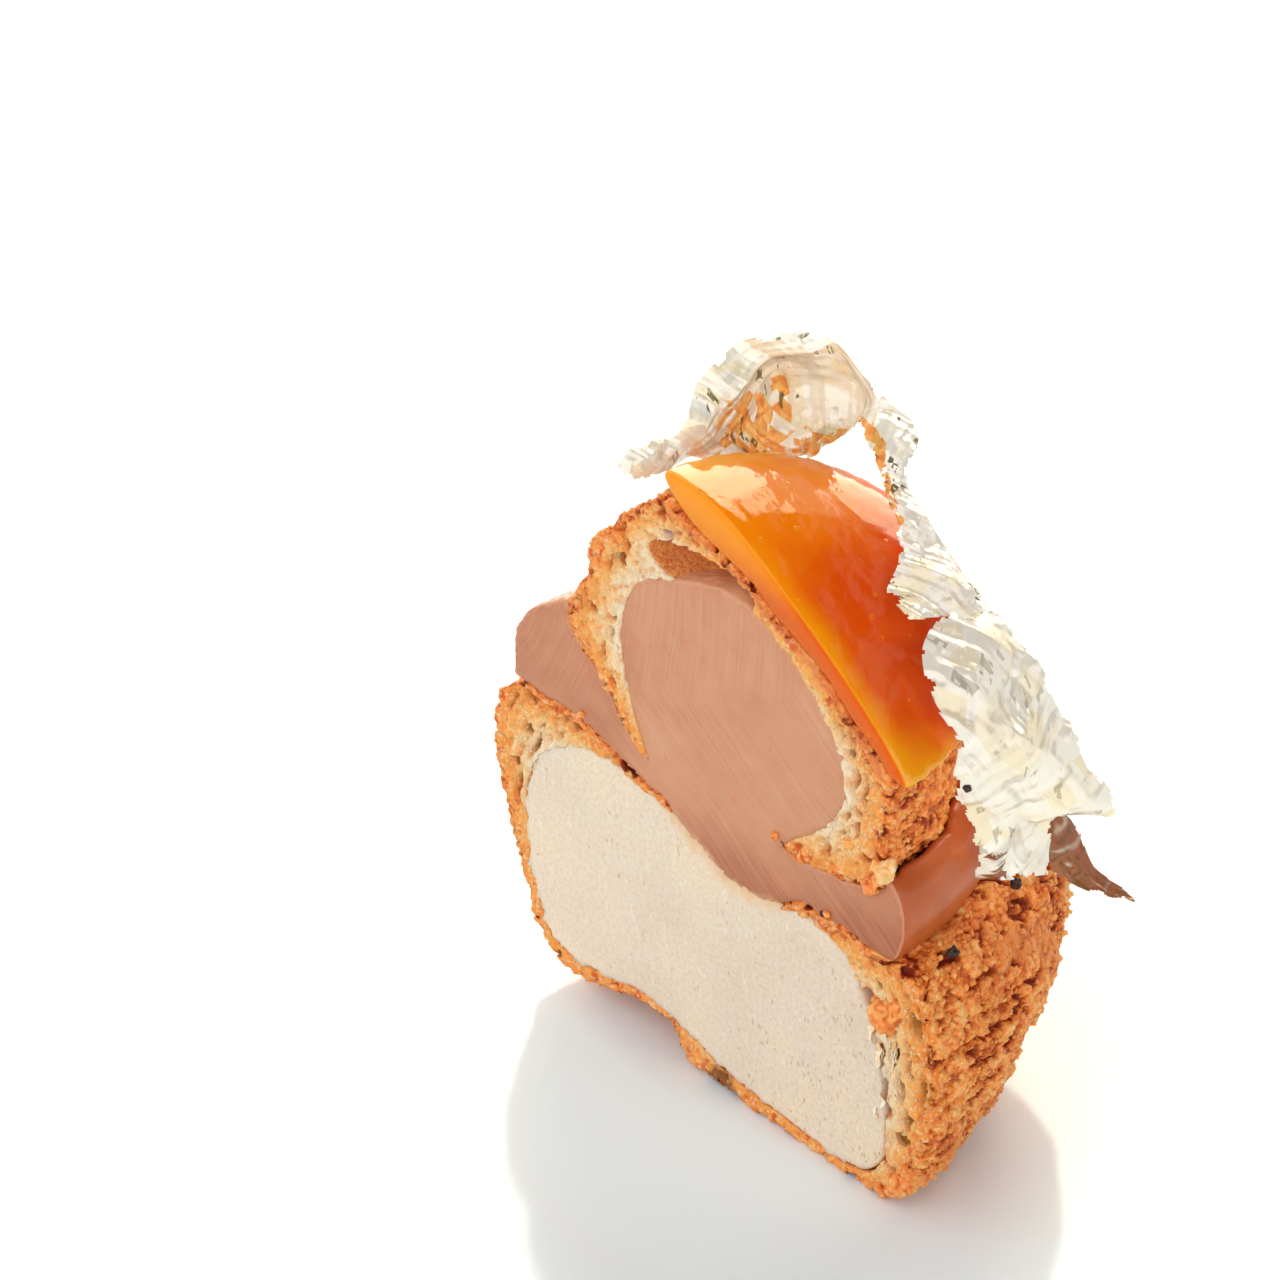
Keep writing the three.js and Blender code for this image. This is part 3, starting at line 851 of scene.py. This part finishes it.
def grainTree():  # crystals over the bare skin and crumbs over the cut face
    inputs, where = geometryTree("grains", {
        "Crystal": "Object", "Skin density": 1.0, "Cut density": 1.0,
        "Smallest": 0.15, "Largest": 0.45, "Seed": 5, "Material": "Material",
    })
    field = {name: stored(name) for name in ("bare", "cut", "depth", "room", "crag")}
    onCut = field["cut"] * fade(field["room"], 0.25, 0.6)
    bare = field["bare"] * calc("GREATER_THAN", split(where)["Z"], 0.6 * mm)  # none under the foot
    density = bare * inputs["Skin density"] + onCut * inputs["Cut density"]
    points = put("GeometryNodeDistributePointsOnFaces", {
        "Mesh": inputs["Geometry"], "Density": density * 1e6, "Seed": inputs["Seed"]})["Points"]

    inside = field["depth"] * 0.25 * field["cut"]
    points = store(points, {"tone": chance(0.0, 1.0, 11), "shade": field["crag"], "inside": inside})
    spread = chance(0.0, 1.0, 12) ** 2.0 * (1.0 - field["cut"])
    radius = between(spread, inputs["Smallest"], inputs["Largest"])
    scale = chance((0.7, 0.7, 0.6), (1.3, 1.2, 1.0), 13) * radius
    turn = chance((0.0, 0.0, 0.0), (6.28, 6.28, 6.28), 14)
    many = copies(inputs["Crystal"], {"Points": points, "Rotation": turn, "Scale": scale})
    paint = put("GeometryNodeSetMaterial", {0: many, "Material": inputs["Material"]})
    return endTree(paint[0])


def crumbHolesTree():
    inputs, where = geometryTree("crumb holes", {
        "Outer skin": "Object", "Ball": "Object", "Density": 1.0, "From depth": 0.8,
        "Smallest": 0.25, "Largest": 0.8, "Seed": 3,
    })
    scatter = put("GeometryNodeDistributePointsOnFaces", {
        "Mesh": inputs["Geometry"], "Density": inputs["Density"] * 1e6, "Seed": inputs["Seed"]})
    outerAt = nearest(inputs["Outer skin"], where)
    away = calc("GREATER_THAN", outerAt["Distance"], inputs["From depth"] * mm)
    wall = vec("CROSS_PRODUCT", where - outerAt["Position"], (0.0, 1.0, 0.0))
    turn = put("FunctionNodeAlignRotationToVector", {"Vector": wall}, axis="Z")[0]
    size = chance(0.0, 1.0, inputs["Seed"]) ** 2.2
    radius = inputs["Smallest"] + size * (inputs["Largest"] - inputs["Smallest"])
    scale = chance((0.7, 0.8, 1.0), (1.1, 1.3, 2.0), 0) * radius
    return endTree(copies(inputs["Ball"], {
        "Points": scatter["Points"], "Selection": away, "Rotation": turn, "Scale": scale}))


crustRelief = crustReliefTree()
crumbHoles = crumbHolesTree()
grains = grainTree()

bigCrust = {
    "voxel": 0.31, "holeVoxel": 0.2, "keep": 0.55, "hollowDepth": 3.6, "core": (-8, -12, 16),
    "cover": "chocolate_cream",
    "relief": {"Nugget size": 2.4, "Nugget height": 0.26, "Grain size": 1.3, "Grain height": 0.34,
               "Crevice size": 3.6, "Crevice depth": 1.1, "Crumb size": 2.0, "Crumb depth": 2.0},
    "holes": {"Density": 0.1, "From depth": 1.2, "Smallest": 0.25, "Largest": 0.6, "Seed": 3},
    # x, z, half width, half height of the larger hollows seen at the cut
    "hollows": [
        (14.9, 24.4, 0.75, 1.3), (15.9, 21.6, 0.5, 1.5), (18.7, 19.0, 0.6, 1.7), (17.0, 18.2, 0.5, 1.9),
        (17.6, 14.4, 0.6, 1.5), (18.0, 11.6, 0.4, 1.1), (19.9, 9.0, 1.15, 1.15), (16.6, 26.6, 0.6, 0.7),
        (-35.2, 33.6, 0.6, 0.5), (-32.0, 33.4, 0.9, 0.45), (-38.3, 24.5, 0.5, 0.9), (17.8, 5.2, 0.5, 0.6)],
    "grains": {"Skin density": 1.0, "Cut density": 0.35, "Smallest": 0.16, "Largest": 0.5, "Seed": 5},
}
smallCrust = {
    "voxel": 0.28, "holeVoxel": 0.2, "keep": 0.8, "hollowDepth": 2.8, "core": (-6, -12, 51),
    "hollow": (-10, -11, 62), "cover": "orange_glaze",
    "relief": {"Nugget size": 2.1, "Nugget height": 0.24, "Grain size": 1.2, "Grain height": 0.3,
               "Crevice size": 3.0, "Crevice depth": 0.9, "Crumb size": 1.6, "Crumb depth": 1.5},
    "holes": {"Density": 0.15, "From depth": 0.9, "Smallest": 0.2, "Largest": 0.45, "Seed": 8},
    "hollows": [
        (-21.2, 58.5, 0.75, 1.1), (-23.4, 58.6, 0.35, 0.5), (-26.1, 50.3, 0.6, 0.9), (-22.9, 42.6, 0.5, 0.6),
        (-21.6, 44.8, 0.3, 0.7), (-14.5, 64.8, 1.0, 0.7), (13.2, 44.0, 0.6, 1.0), (14.4, 41.0, 0.8, 0.8),
        (-4.5, 66.6, 0.6, 0.4), (12.4, 52.6, 0.35, 0.9)],
    "grains": {"Skin density": 1.2, "Cut density": 0.4, "Smallest": 0.14, "Largest": 0.45, "Seed": 6},
}


def thinHidden(piece, share):  # fewer faces on the walls that the filling, the cream or the floor hides
    mesh = piece.data
    count = len(mesh.vertices)
    field = {name: np.empty(count, np.float32) for name in ("room", "depth", "cover")}
    for name, values in field.items():
        mesh.attributes[name].data.foreach_get("value", values)
    places = np.empty(count * 3, np.float32)
    mesh.vertices.foreach_get("co", places)
    places = places.reshape(-1, 3)
    hidden = (field["room"] < 0.3) & (field["depth"] > 1.0)
    hidden |= (field["cover"] < 0.3) | (places[:, 2] < 0.5 * mm)
    hidden &= places[:, 1] > cutPlane + 1.5 * mm
    group = piece.vertex_groups.new(name="hidden")
    group.add([int(i) for i in np.nonzero(hidden)[0]], 1.0, "REPLACE")
    thin = piece.modifiers.new("thin", "DECIMATE")
    thin.ratio = share
    thin.vertex_group = "hidden"
    settle(piece, piece.name)
    piece.vertex_groups.clear()


def makeCrust(node, name, values, material):
    outer = keepFaces(node, name + "Outer", outwardOf(values["core"], values.get("hollow")))
    inner = keepFaces(node, name + "Inner", inwardOf(values["core"], values.get("hollow")))
    ring = keepFaces(node, name + "Ring", onCut)
    ball = unevenBall(name + "Ball", 2, ballLumps)
    addTree(ring, crumbHoles, {"Outer skin": outer, "Ball": ball, **values["holes"]})
    settle(ring, name + "Holes")
    made = bmesh.new()
    made.from_mesh(ring.data)
    for x, z, wide, tall in values["hollows"]:
        place = Matrix.Translation(Vector((x, -12.1, z)) * mm)
        place = place @ Matrix.Diagonal((wide, values["hollowDepth"], tall, 1))
        before = set(made.verts)
        made.from_mesh(ball.data)
        bmesh.ops.transform(made, matrix=place, verts=[v for v in made.verts if v not in before])
    made.to_mesh(ring.data)
    made.free()
    remesh(ring, values["holeVoxel"])
    piece = softSolid(node, name)
    carve = piece.modifiers.new("holes", "BOOLEAN")
    carve.operation = "DIFFERENCE"
    carve.solver = "MANIFOLD"
    carve.object = ring
    remesh(piece, values["voxel"])
    addTree(piece, crustRelief, {
        "Outer skin": outer, "Inner skin": inner, "Cover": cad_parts[values["cover"]],
        "Core": inMetres(values["core"]), **values["relief"]})
    settle(piece, name)
    thinHidden(piece, values["keep"])
    crystal = unevenBall(name + "Crystal", 1, crystalLumps)
    dust = link(bpy.data.objects.new(name + "Grains", piece.data.copy()))
    addTree(dust, grains, {"Crystal": crystal, "Material": grainMaterial, **values["grains"]})
    settle(dust, name + "Grains")
    discard(outer, inner, ring, ball, crystal)
    finishPiece(piece, "crust", material, node)
    finishPiece(dust, "crust", grainMaterial)


grainMaterial = sugarGrain("sugar grain")
bigBake = bakedCrust("baked big crust", bigCrust["core"], 6.5, 0.2)
makeCrust("big_bun_crust", "bigBunCrust", bigCrust, bigBake)
smallBake = bakedCrust("baked small crust", smallCrust["core"], 5.0, 0.75)
makeCrust("small_bun_crust", "smallBunCrust", smallCrust, smallBake)
print("crusts are made")


def softReliefTree():
    inputs, where = geometryTree("soft relief", {
        "Grow": 0.3, "Foot": 0.3, "Uneven": 0.0, "Swell size": 6.0, "Swell height": 0.12,
        "Streak height": 0.0, "Neighbour": "Object",
    })
    normal = put("GeometryNodeInputNormal")[0]
    parts = split(where)
    cut = onFace(where)
    sideways = normal * (1.0, 0.0, 1.0)
    swell = put("ShaderNodeTexNoise", {"Vector": where, "Scale": 1000.0 / inputs["Swell size"]})["Fac"]
    swell = (swell - 0.5) * inputs["Swell height"]
    groove = (knifeStrokes(where) - 0.5) * inputs["Streak height"]
    inward = (swell + groove) * mm * cut
    x = parts["X"] * 1000.0
    z = parts["Z"] * 1000.0
    growBy = between(fade(z, 2.0, 6.0), inputs["Foot"], inputs["Grow"])
    growBy = growBy + (cloud(where, 1.8, 3.0, 0.6) - 0.5) * inputs["Uneven"]
    growBy = growBy * fade(x, 11.0, 14.0, 1.0, 0.35)  # a gap is left beside the right wall
    growBy = calc("MAXIMUM", growBy, 0.22) * mm
    offset = normal * (growBy * (1.0 - cut)) + sideways * (growBy * cut) + join(Y=inward)
    beside = nearest(inputs["Neighbour"], where)["Distance"]
    geometry = store(inputs["Geometry"], {"cut": cut, "beside": beside * 1000.0})
    return endTree(moveBy(geometry, offset))


softRelief = softReliefTree()
softPieces = {
    "paleFilling": {
        "node": "pale_filling", "beside": "chocolate_cream", "voxel": 0.42, "material": whippedFilling,
        "relief": {"Grow": 0.6, "Foot": 0.3, "Uneven": 2.4, "Swell size": 3.0, "Swell height": 0.4,
                   "Streak height": 0.0}},
    "chocolateCream": {
        "node": "chocolate_cream", "beside": "pale_filling", "voxel": 0.38, "material": chocolateCream,
        "relief": {"Grow": 0.5, "Foot": 0.5, "Uneven": 0.8, "Swell size": 6.0, "Swell height": 0.3,
                   "Streak height": 0.25}},
}
for name, values in softPieces.items():
    piece = softSolid(values["node"], name)
    remesh(piece, values["voxel"])
    addTree(piece, softRelief, {"Neighbour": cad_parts[values["beside"]], **values["relief"]})
    settle(piece, name)
    finishPiece(piece, values["node"], values["material"](), values["node"])
print("fillings are made")


glaze = {"voxel": 0.32, "smoothing": 3, "ripple": 0.25}


def glazeReliefTree():
    inputs, where = geometryTree("glaze relief", {"Ripple": 0.12, "Rim": "Object", "Underside": "Object"})
    normal = put("GeometryNodeInputNormal")[0]
    cut = onFace(where)
    near = nearest(inputs["Rim"], where)
    ripple = (cloud(where, 4.5) - 0.5) * mm * inputs["Ripple"]
    offset = normal * (ripple * (1.0 - cut))
    under = nearest(inputs["Underside"], where)
    geometry = store(inputs["Geometry"], {
        "cut": cut, "rim": near["Distance"] * 1000.0, "foot": under["Distance"] * 1000.0})
    return endTree(moveBy(geometry, offset))


def makeGlaze():
    rim = keepFaces("orange_glaze", "glazeRim", onCut)
    underside = keepFaces("orange_glaze", "glazeUnderside", inwardOf(smallCrust["core"]))
    piece = softSolid("orange_glaze", "orangeGlaze")
    remesh(piece, glaze["voxel"])
    smooth = piece.modifiers.new("smooth", "SMOOTH")
    smooth.factor = 0.5
    smooth.iterations = glaze["smoothing"]
    addTree(piece, glazeReliefTree(), {"Ripple": glaze["ripple"], "Rim": rim, "Underside": underside})
    settle(piece, "orangeGlaze")
    discard(rim, underside)
    finishPiece(piece, "orange_glaze", orangeGlaze(), "orange_glaze")


makeGlaze()
print("glaze is made")


# Each leaf as in the solids: pairs of points on its lower and upper edge, and its bulge between them
leafStations = {
    "goldLeafCrown": [
        ((-10.4, -2.3, 70.3), (-11.7, -1.7, 71.3), 0), ((-10, -0.3, 69.9), (-11.9, 1.4, 72.6), 0.4),
        ((-10, 3.4, 69.4), (-10.6, 5.5, 72.6), 0.4), ((-10.4, 7, 68.4), (-11.6, 9.4, 77.2), 0.8),
        ((-9, 10.5, 67.4), (-10.3, 13.9, 79.2), -1.5), ((-7.2, 14.8, 66.4), (-8.2, 18.7, 79.8), -3),
        ((-4.3, 19, 67), (-4.9, 22, 78.5), -2), ((-0.7, 19.6, 72.6), (1.4, 22, 75.2), 0),
        ((3.5, 17.8, 72.5), (6, 22.5, 73.4), 0.8), ((8.1, 15.6, 70.8), (8.7, 18.3, 70.9), 0.5),
        ((11.6, 14, 68.2), (11.9, 18.3, 66.6), 0.5), ((13.5, 12.5, 66), (15.4, 18.7, 64.2), 0.7),
        ((15.1, 9.6, 64.7), (19.1, 18.9, 62.4), 0.7), ((19.1, 8.6, 63.4), (21.9, 18, 62), 0.4)],
    "goldLeafSheet": [
        ((19.3, 12.2, 62.6), (20.2, 20, 60.2), 0), ((21.6, 8, 61.4), (25.7, 19.9, 57.8), 0.8),
        ((24.9, 6.2, 58.5), (29, 21, 51.8), 1), ((27.8, 7.1, 54.9), (30.9, 22.7, 46.3), 1),
        ((27.3, 7, 49.2), (32.4, 25, 39.8), 1), ((27.2, 9.6, 43.1), (28.3, 21, 38.8), 0.6),
        ((27.4, 10.5, 35.9), (28.1, 19.7, 32.5), 0.4)],
    "goldLeafTail": [
        ((26.4, 19, 35), (24.7, 22.6, 38.4), 0.3), ((27.8, 20.6, 32.2), (27, 24.8, 35), 0.6),
        ((30.1, 23, 29.9), (29.4, 25.2, 31.1), 0.2), ((33.2, 26.9, 27.8), (32.9, 27.9, 28.1), 0)],
}
leafValues = {
    "goldLeafCrown": {"node": "gold_leaf_crown", "along": 230, "across": 36, "crumple": {
        "Fold size": 3.6, "Fold height": 1.2, "Rag": 1.0, "Dull": 1.0, "Seed": 1},
        # stained windows: painted reflection of the glaze, partly glaze stain
        # along from, to, across from, to
        "stainedAndReflecting": [(0.2, 0.5, -0.5, 0.72), (0.3, 0.6, -0.5, 0.4), (0.44, 0.85, -0.6, 0.42)],
        "umber": [(0.84, 0.93, -0.2, 0.3)]},
    "goldLeafSheet": {"node": "gold_leaf_sheet", "along": 120, "across": 48, "crumple": {
        "Fold size": 5.5, "Fold height": 1.2, "Rag": 1.3, "Dull": 0.5, "Seed": 7},
        "umber": [(0.86, 1.1, -0.2, 0.5)]},
    "goldLeafTail": {"node": "gold_leaf_tail", "along": 50, "across": 20, "crumple": {
        "Fold size": 3.0, "Fold height": 0.7, "Rag": 0.7, "Dull": 1.0, "Seed": 12},
        "umber": [(-0.2, 1.2, -0.2, 1.2)]},
}
leafFrame = Vector((-8, -12, 0))  # from the cut face's own frame to the part's
leafThickness = 0.06


def through(values, t):  # a smooth curve through the values
    last = len(values) - 1
    place = min(t * last, last - 1e-6)
    i = int(place)
    f = place - i
    p0, p1, p2, p3 = (values[max(i - 1, 0)], values[i], values[i + 1], values[min(i + 2, last)])
    bend, twist = 2 * p0 - 5 * p1 + 4 * p2 - p3, 3 * p1 - p0 - 3 * p2 + p3
    return 0.5 * ((2 * p1) + (p2 - p0) * f + bend * f * f + twist * f ** 3)


def leafCrumpleTree():  # flat facets and sharp creases, with finer ones in clusters
    inputs, where = geometryTree("leaf crumple", {
        "Border": "Object", "Fold size": 4.0, "Fold height": 0.7, "Rag": 1.0, "Dull": 1.0, "Seed": 0,
    })
    normal = put("GeometryNodeInputNormal")[0]
    calm = stored("calm")
    place = where + join(X=inputs["Seed"] * 0.1)
    warp = drift(place, 12.0, 1.0)
    moved = place + warp * (6 * mm)
    spot = moved * (1.0 / inputs["Fold size"])
    cluster = fade(cloud(place, 5.0), 0.47, 0.6)
    creases = pleats(spot, 0.36) * (cluster * 0.3)
    lift = (pleats(spot, 1.0) + creases) * inputs["Fold height"]
    push = normal * (lift * calm * mm)
    # how strongly the leaf shows its painted dark reflections
    geometry = store(inputs["Geometry"], {"crumpled": cluster, "dull": inputs["Dull"]})
    geometry = store(geometry, {"spot": spot}, "FLOAT_VECTOR")
    geometry = moveBy(geometry, push)
    near = nearest(inputs["Border"], where, "EDGES")
    bite = fade(cloud(where, 2.4, 4.0, 0.65, 0.4), 0.4, 0.7) * inputs["Rag"]
    torn = calc("LESS_THAN", near["Distance"], bite * mm)
    geometry = store(geometry, {"torn": torn})
    gone = {"Geometry": geometry, "Selection": calc("GREATER_THAN", stored("torn"), 0.5)}
    return endTree(put("GeometryNodeDeleteGeometry", gone, domain="FACE")[0])


leafCrumple = leafCrumpleTree()
leafMaterial = goldLeaf()


def inWindows(along, across, windows):  # 1 inside one of them, falling to 0 a little outside
    best = 0.0
    for a0, a1, c0, c1 in windows:
        inside = min((along - a0) * 8, (a1 - along) * 8, (across - c0) * 4, (c1 - across) * 4, 1.0)
        best = max(best, inside)
    return best


def makeLeaf(name, values):
    stations = leafStations[name]
    low = [Vector(s[0]) for s in stations]
    high = [Vector(s[1]) for s in stations]
    bulge = [float(s[2]) for s in stations]

    def grid(along, across):
        points, marks = [], []
        for i in range(along + 1):
            t = i / along
            a, b, swell = through(low, t), through(high, t), through(bulge, t)
            after, before = min(t + 0.01, 1), max(t - 0.01, 0)
            step = through(low, after) + through(high, after) - through(low, before) - through(high, before)
            normal = step.cross(b - a).normalized()
            for j in range(across + 1):
                s = j / across
                points.append((a.lerp(b, s) + normal * swell * math.sin(math.pi * s) + leafFrame) * mm)
                tintMarks = [inWindows(t, s, values.get(kind, ())) for kind in ("stainedAndReflecting", "umber")]
                marks.append((*tintMarks, min((b - a).length / 9, 1)))
        return points, marks

    along, across = values["along"], values["across"]
    points, marks = grid(along, across)
    width = across + 1
    faces = [(i * width + j, (i + 1) * width + j, (i + 1) * width + j + 1, i * width + j + 1)
             for i in range(along) for j in range(across)]
    mesh = bpy.data.meshes.new(name)
    mesh.from_pydata(points, [], faces)
    for index, label in enumerate(("stain", "umber", "calm")):
        layer = mesh.attributes.new(label, "FLOAT", "POINT")
        layer.data.foreach_set("value", [mark[index] for mark in marks])
    piece = link(bpy.data.objects.new(name, mesh))
    dense = grid(120, 1)[0]
    ring = dense[::2] + dense[::-2]
    rimMesh = bpy.data.meshes.new(name + "Border")
    rimMesh.from_pydata(ring, [(i, (i + 1) % len(ring)) for i in range(len(ring))], [])
    rim = link(bpy.data.objects.new(name + "Border", rimMesh))
    addTree(piece, leafCrumple, {"Border": rim, **values["crumple"]})
    thicken(piece, leafThickness)
    piece.data.set_sharp_from_angle(angle=math.radians(50))
    discard(rim)
    finishPiece(piece, "gold_leaf", leafMaterial, values["node"])


for name, values in leafValues.items():
    makeLeaf(name, values)
print("gold leaf is made")

# Loose crumbs and hanging lumps: x, y, z, radius, how pale (0 is toasted skin, 1 is pale crumb)
lumps = [
    (17.5, -11.7, 23.4, 1.7, 0.04), (18.9, -11.6, 24.6, 1.2, 0.05), (16.4, -11.5, 24.5, 0.9, 0.1),
    (17.3, -12.0, 41.3, 1.2, 0.5), (16.3, -12.1, 39.7, 0.8, 0.06), (15.5, -12.1, 38.5, 0.9, 0.05),
    (14.9, -12.0, 37.5, 0.5, 0.08), (12.3, -11.9, 41.7, 0.7, 0.3), (19.4, -11.8, 2.8, 1.3, 0.06),
    (20.9, -11.4, 4.8, 1.2, 0.04), (17.4, -11.7, 1.2, 0.9, 0.05), (-27.5, -12.1, 36.3, 0.4, 0.1),
    (9.2, -12.1, 31.4, 0.35, 0.1), (1.5, -12.1, 36.9, 0.5, 0.08),
]
flecks = [  # x, y, z, radius
    (21.13, -6.24, 30.4, 0.6), (17.17, 6.19, 30.4, 0.55), (8.3, -12.0, 30.9, 0.25), (20.4, -3.9, 48.9, 0.4),
    (22.4, -2.0, 22.6, 0.35),
]


def lumpOf(made, x, y, z, radius, seed, finish):
    ball = bmesh.ops.create_icosphere(made, subdivisions=finish, radius=radius * mm)["verts"]
    spot = Vector((x, y, z)) * mm
    for vert in ball:
        where = vert.co / mm + Vector((seed * 7.3, 0, 0))
        grain = 0.5 - min(noise.voronoi(where * 1.7)[0][0], 1)
        push = 0.45 * noise.noise(where * (1.2 / radius)) + 0.2 * noise.noise(where * 2.6)
        vert.co = vert.co * (1 + (push + 0.35 * grain / radius)) + spot
        yield vert, grain


def makeLumps():
    made = bmesh.new()
    marks = {name: made.verts.layers.float.new(name) for name in ("tone", "shade", "inside")}
    for seed, (x, y, z, radius, paleness) in enumerate(lumps):
        for vert, grain in lumpOf(made, x, y, z, radius, seed, 4 if radius > 0.6 else 3):
            vert[marks["tone"]] = 0.5 + noise.noise(vert.co / mm * 2.2)
            # shade follows how far each grain lifts the lump, so the ramp paints highlights on the raised
            # grains
            vert[marks["shade"]] = 0.35 + 0.8 * grain
            vert[marks["inside"]] = paleness
    piece = fromBmesh(made, "crumbLumps")
    piece.data.shade_smooth()
    finishPiece(piece, "crust", grainMaterial)


def makeFlecks():
    made = bmesh.new()
    for seed, (x, y, z, radius) in enumerate(flecks):
        list(lumpOf(made, x, y, z, radius, seed + 20, 3))
    piece = fromBmesh(made, "burntFlecks")
    material, shader, where = newMaterial("burnt sugar fleck")
    tone = cloud(where, 0.4)
    colour = blend(fade(tone, 0.4, 0.7), (24, 20, 18), (70, 48, 34))
    feed(shader, {
        "Base Color": colour, "Roughness": fade(tone, 0.3, 0.7, 0.3, 0.6), "Normal": dent(tone, 0.5, 0.2)})
    finishPiece(piece, "crust", material)


# Torn threads of crumb: x, z, half width, half height, lean from upright in degrees, how many
threads = [
    (18.8, 16.5, 0.5, 4.0, 4, 40), (16.6, 15.0, 0.4, 4.0, -8, 12), (11.7, 42.2, 0.9, 0.7, 30, 8),
    (17.4, 25.6, 0.8, 0.6, 20, 6),
]


def filmMaterial():
    material, shader, where = newMaterial("torn crumb film")
    tone = cloud(where, 1.6)
    colour = scaleOf(tone, (0.35, (250, 206, 140)), (0.5, (255, 234, 196)), (0.65, (255, 246, 228)))
    feed(shader, {
        "Base Color": colour, "Roughness": fade(tone, 0.3, 0.7, 0.3, 0.5),
        "Normal": dent(cloud(where, 0.25), 0.3, 0.1)})
    return material


def strandOf(made, start, end, bow, radius):
    sides, steps = 4, 5
    rings = []
    for i in range(steps + 1):
        t = i / steps
        middle = start.lerp(end, t) + bow * math.sin(math.pi * t)
        middle += Vector((noise.noise(middle * 1.7), 0, noise.noise(middle * 1.3))) * 0.15
        thick = radius * (1 - 0.6 * abs(2 * t - 1))
        around = [math.tau * k / sides for k in range(sides)]
        rings.append([made.verts.new((middle + Vector((math.cos(turn), math.sin(turn), 0)) * thick) * mm)
                      for turn in around])
    for low, high in zip(rings, rings[1:]):
        for k in range(sides):
            made.faces.new((low[k], low[(k + 1) % sides], high[(k + 1) % sides], high[k]))
    made.faces.new(rings[0][::-1])
    made.faces.new(rings[-1])


def makeThreads(material):
    dice = random.Random(4)
    made = bmesh.new()
    for x, z, wide, tall, lean, count in threads:
        way = Vector((math.sin(math.radians(lean)), 0, math.cos(math.radians(lean))))
        for _ in range(count):
            half = way * dice.uniform(0.3, 1.1)
            aside, behind = dice.uniform(-wide, wide), dice.uniform(0.05, 0.5)
            middle = Vector((x + aside, -12 + behind, z + dice.uniform(-tall, tall)))
            tilt = Vector((dice.uniform(-0.25, 0.25), dice.uniform(-0.2, 0.1), 0))
            bow = Vector((dice.uniform(-0.2, 0.2), dice.uniform(-0.2, 0.1), 0))
            strandOf(made, middle - half - tilt, middle + half + tilt, bow, dice.uniform(0.06, 0.16))
    made.normal_update()
    piece = fromBmesh(made, "crumbThreads")
    piece.data.shade_smooth()
    finishPiece(piece, "crust", material)


# Torn flaps in the gap beside the filling: x, z, width, height, curl towards the front
flaps = [
    (15.6, 20.2, 1.0, 2.4, 0.5), (16.6, 17.8, 0.9, 3.0, 0.7), (16.0, 14.6, 0.8, 2.6, 0.4),
    (17.2, 12.6, 0.8, 2.2, 0.6), (17.6, 20.8, 0.7, 2.6, 0.5), (16.4, 10.6, 0.7, 1.8, 0.5),
    (15.4, 22.6, 0.8, 1.6, 0.4),
]
flapThickness = 0.12


def makeFlaps(material):
    made = bmesh.new()
    across, up = 6, 12
    for seed, (x, z, wide, tall, curl) in enumerate(flaps):
        grid = []
        for j in range(up + 1):
            v = j / up
            row = []
            for i in range(across + 1):
                u = i / across - 0.5
                ragged = 1 - 0.5 * abs(noise.noise(Vector((seed, v * 3, 0)))) - 0.6 * abs(2 * v - 1) ** 3
                forward = curl * (u + 0.5) * (0.4 + 0.6 * math.sin(v * 5 + seed))
                spot = Vector((x + u * wide * ragged, -11.9 - forward, z + (v - 0.5) * tall))
                spot += Vector([noise.noise(spot * size) for size in (1.4, 1.9, 1.1)]) * 0.4
                row.append(made.verts.new(spot * mm))
            grid.append(row)
        for low, high in zip(grid, grid[1:]):
            for i in range(across):
                made.faces.new((low[i], low[i + 1], high[i + 1], high[i]))
    piece = fromBmesh(made, "tornFlaps")
    thicken(piece, flapThickness)
    finishPiece(piece, "crust", material)


film = filmMaterial()
makeLumps()
makeFlecks()
makeThreads(film)
makeFlaps(film)
print("crumbs, flecks and threads are made")
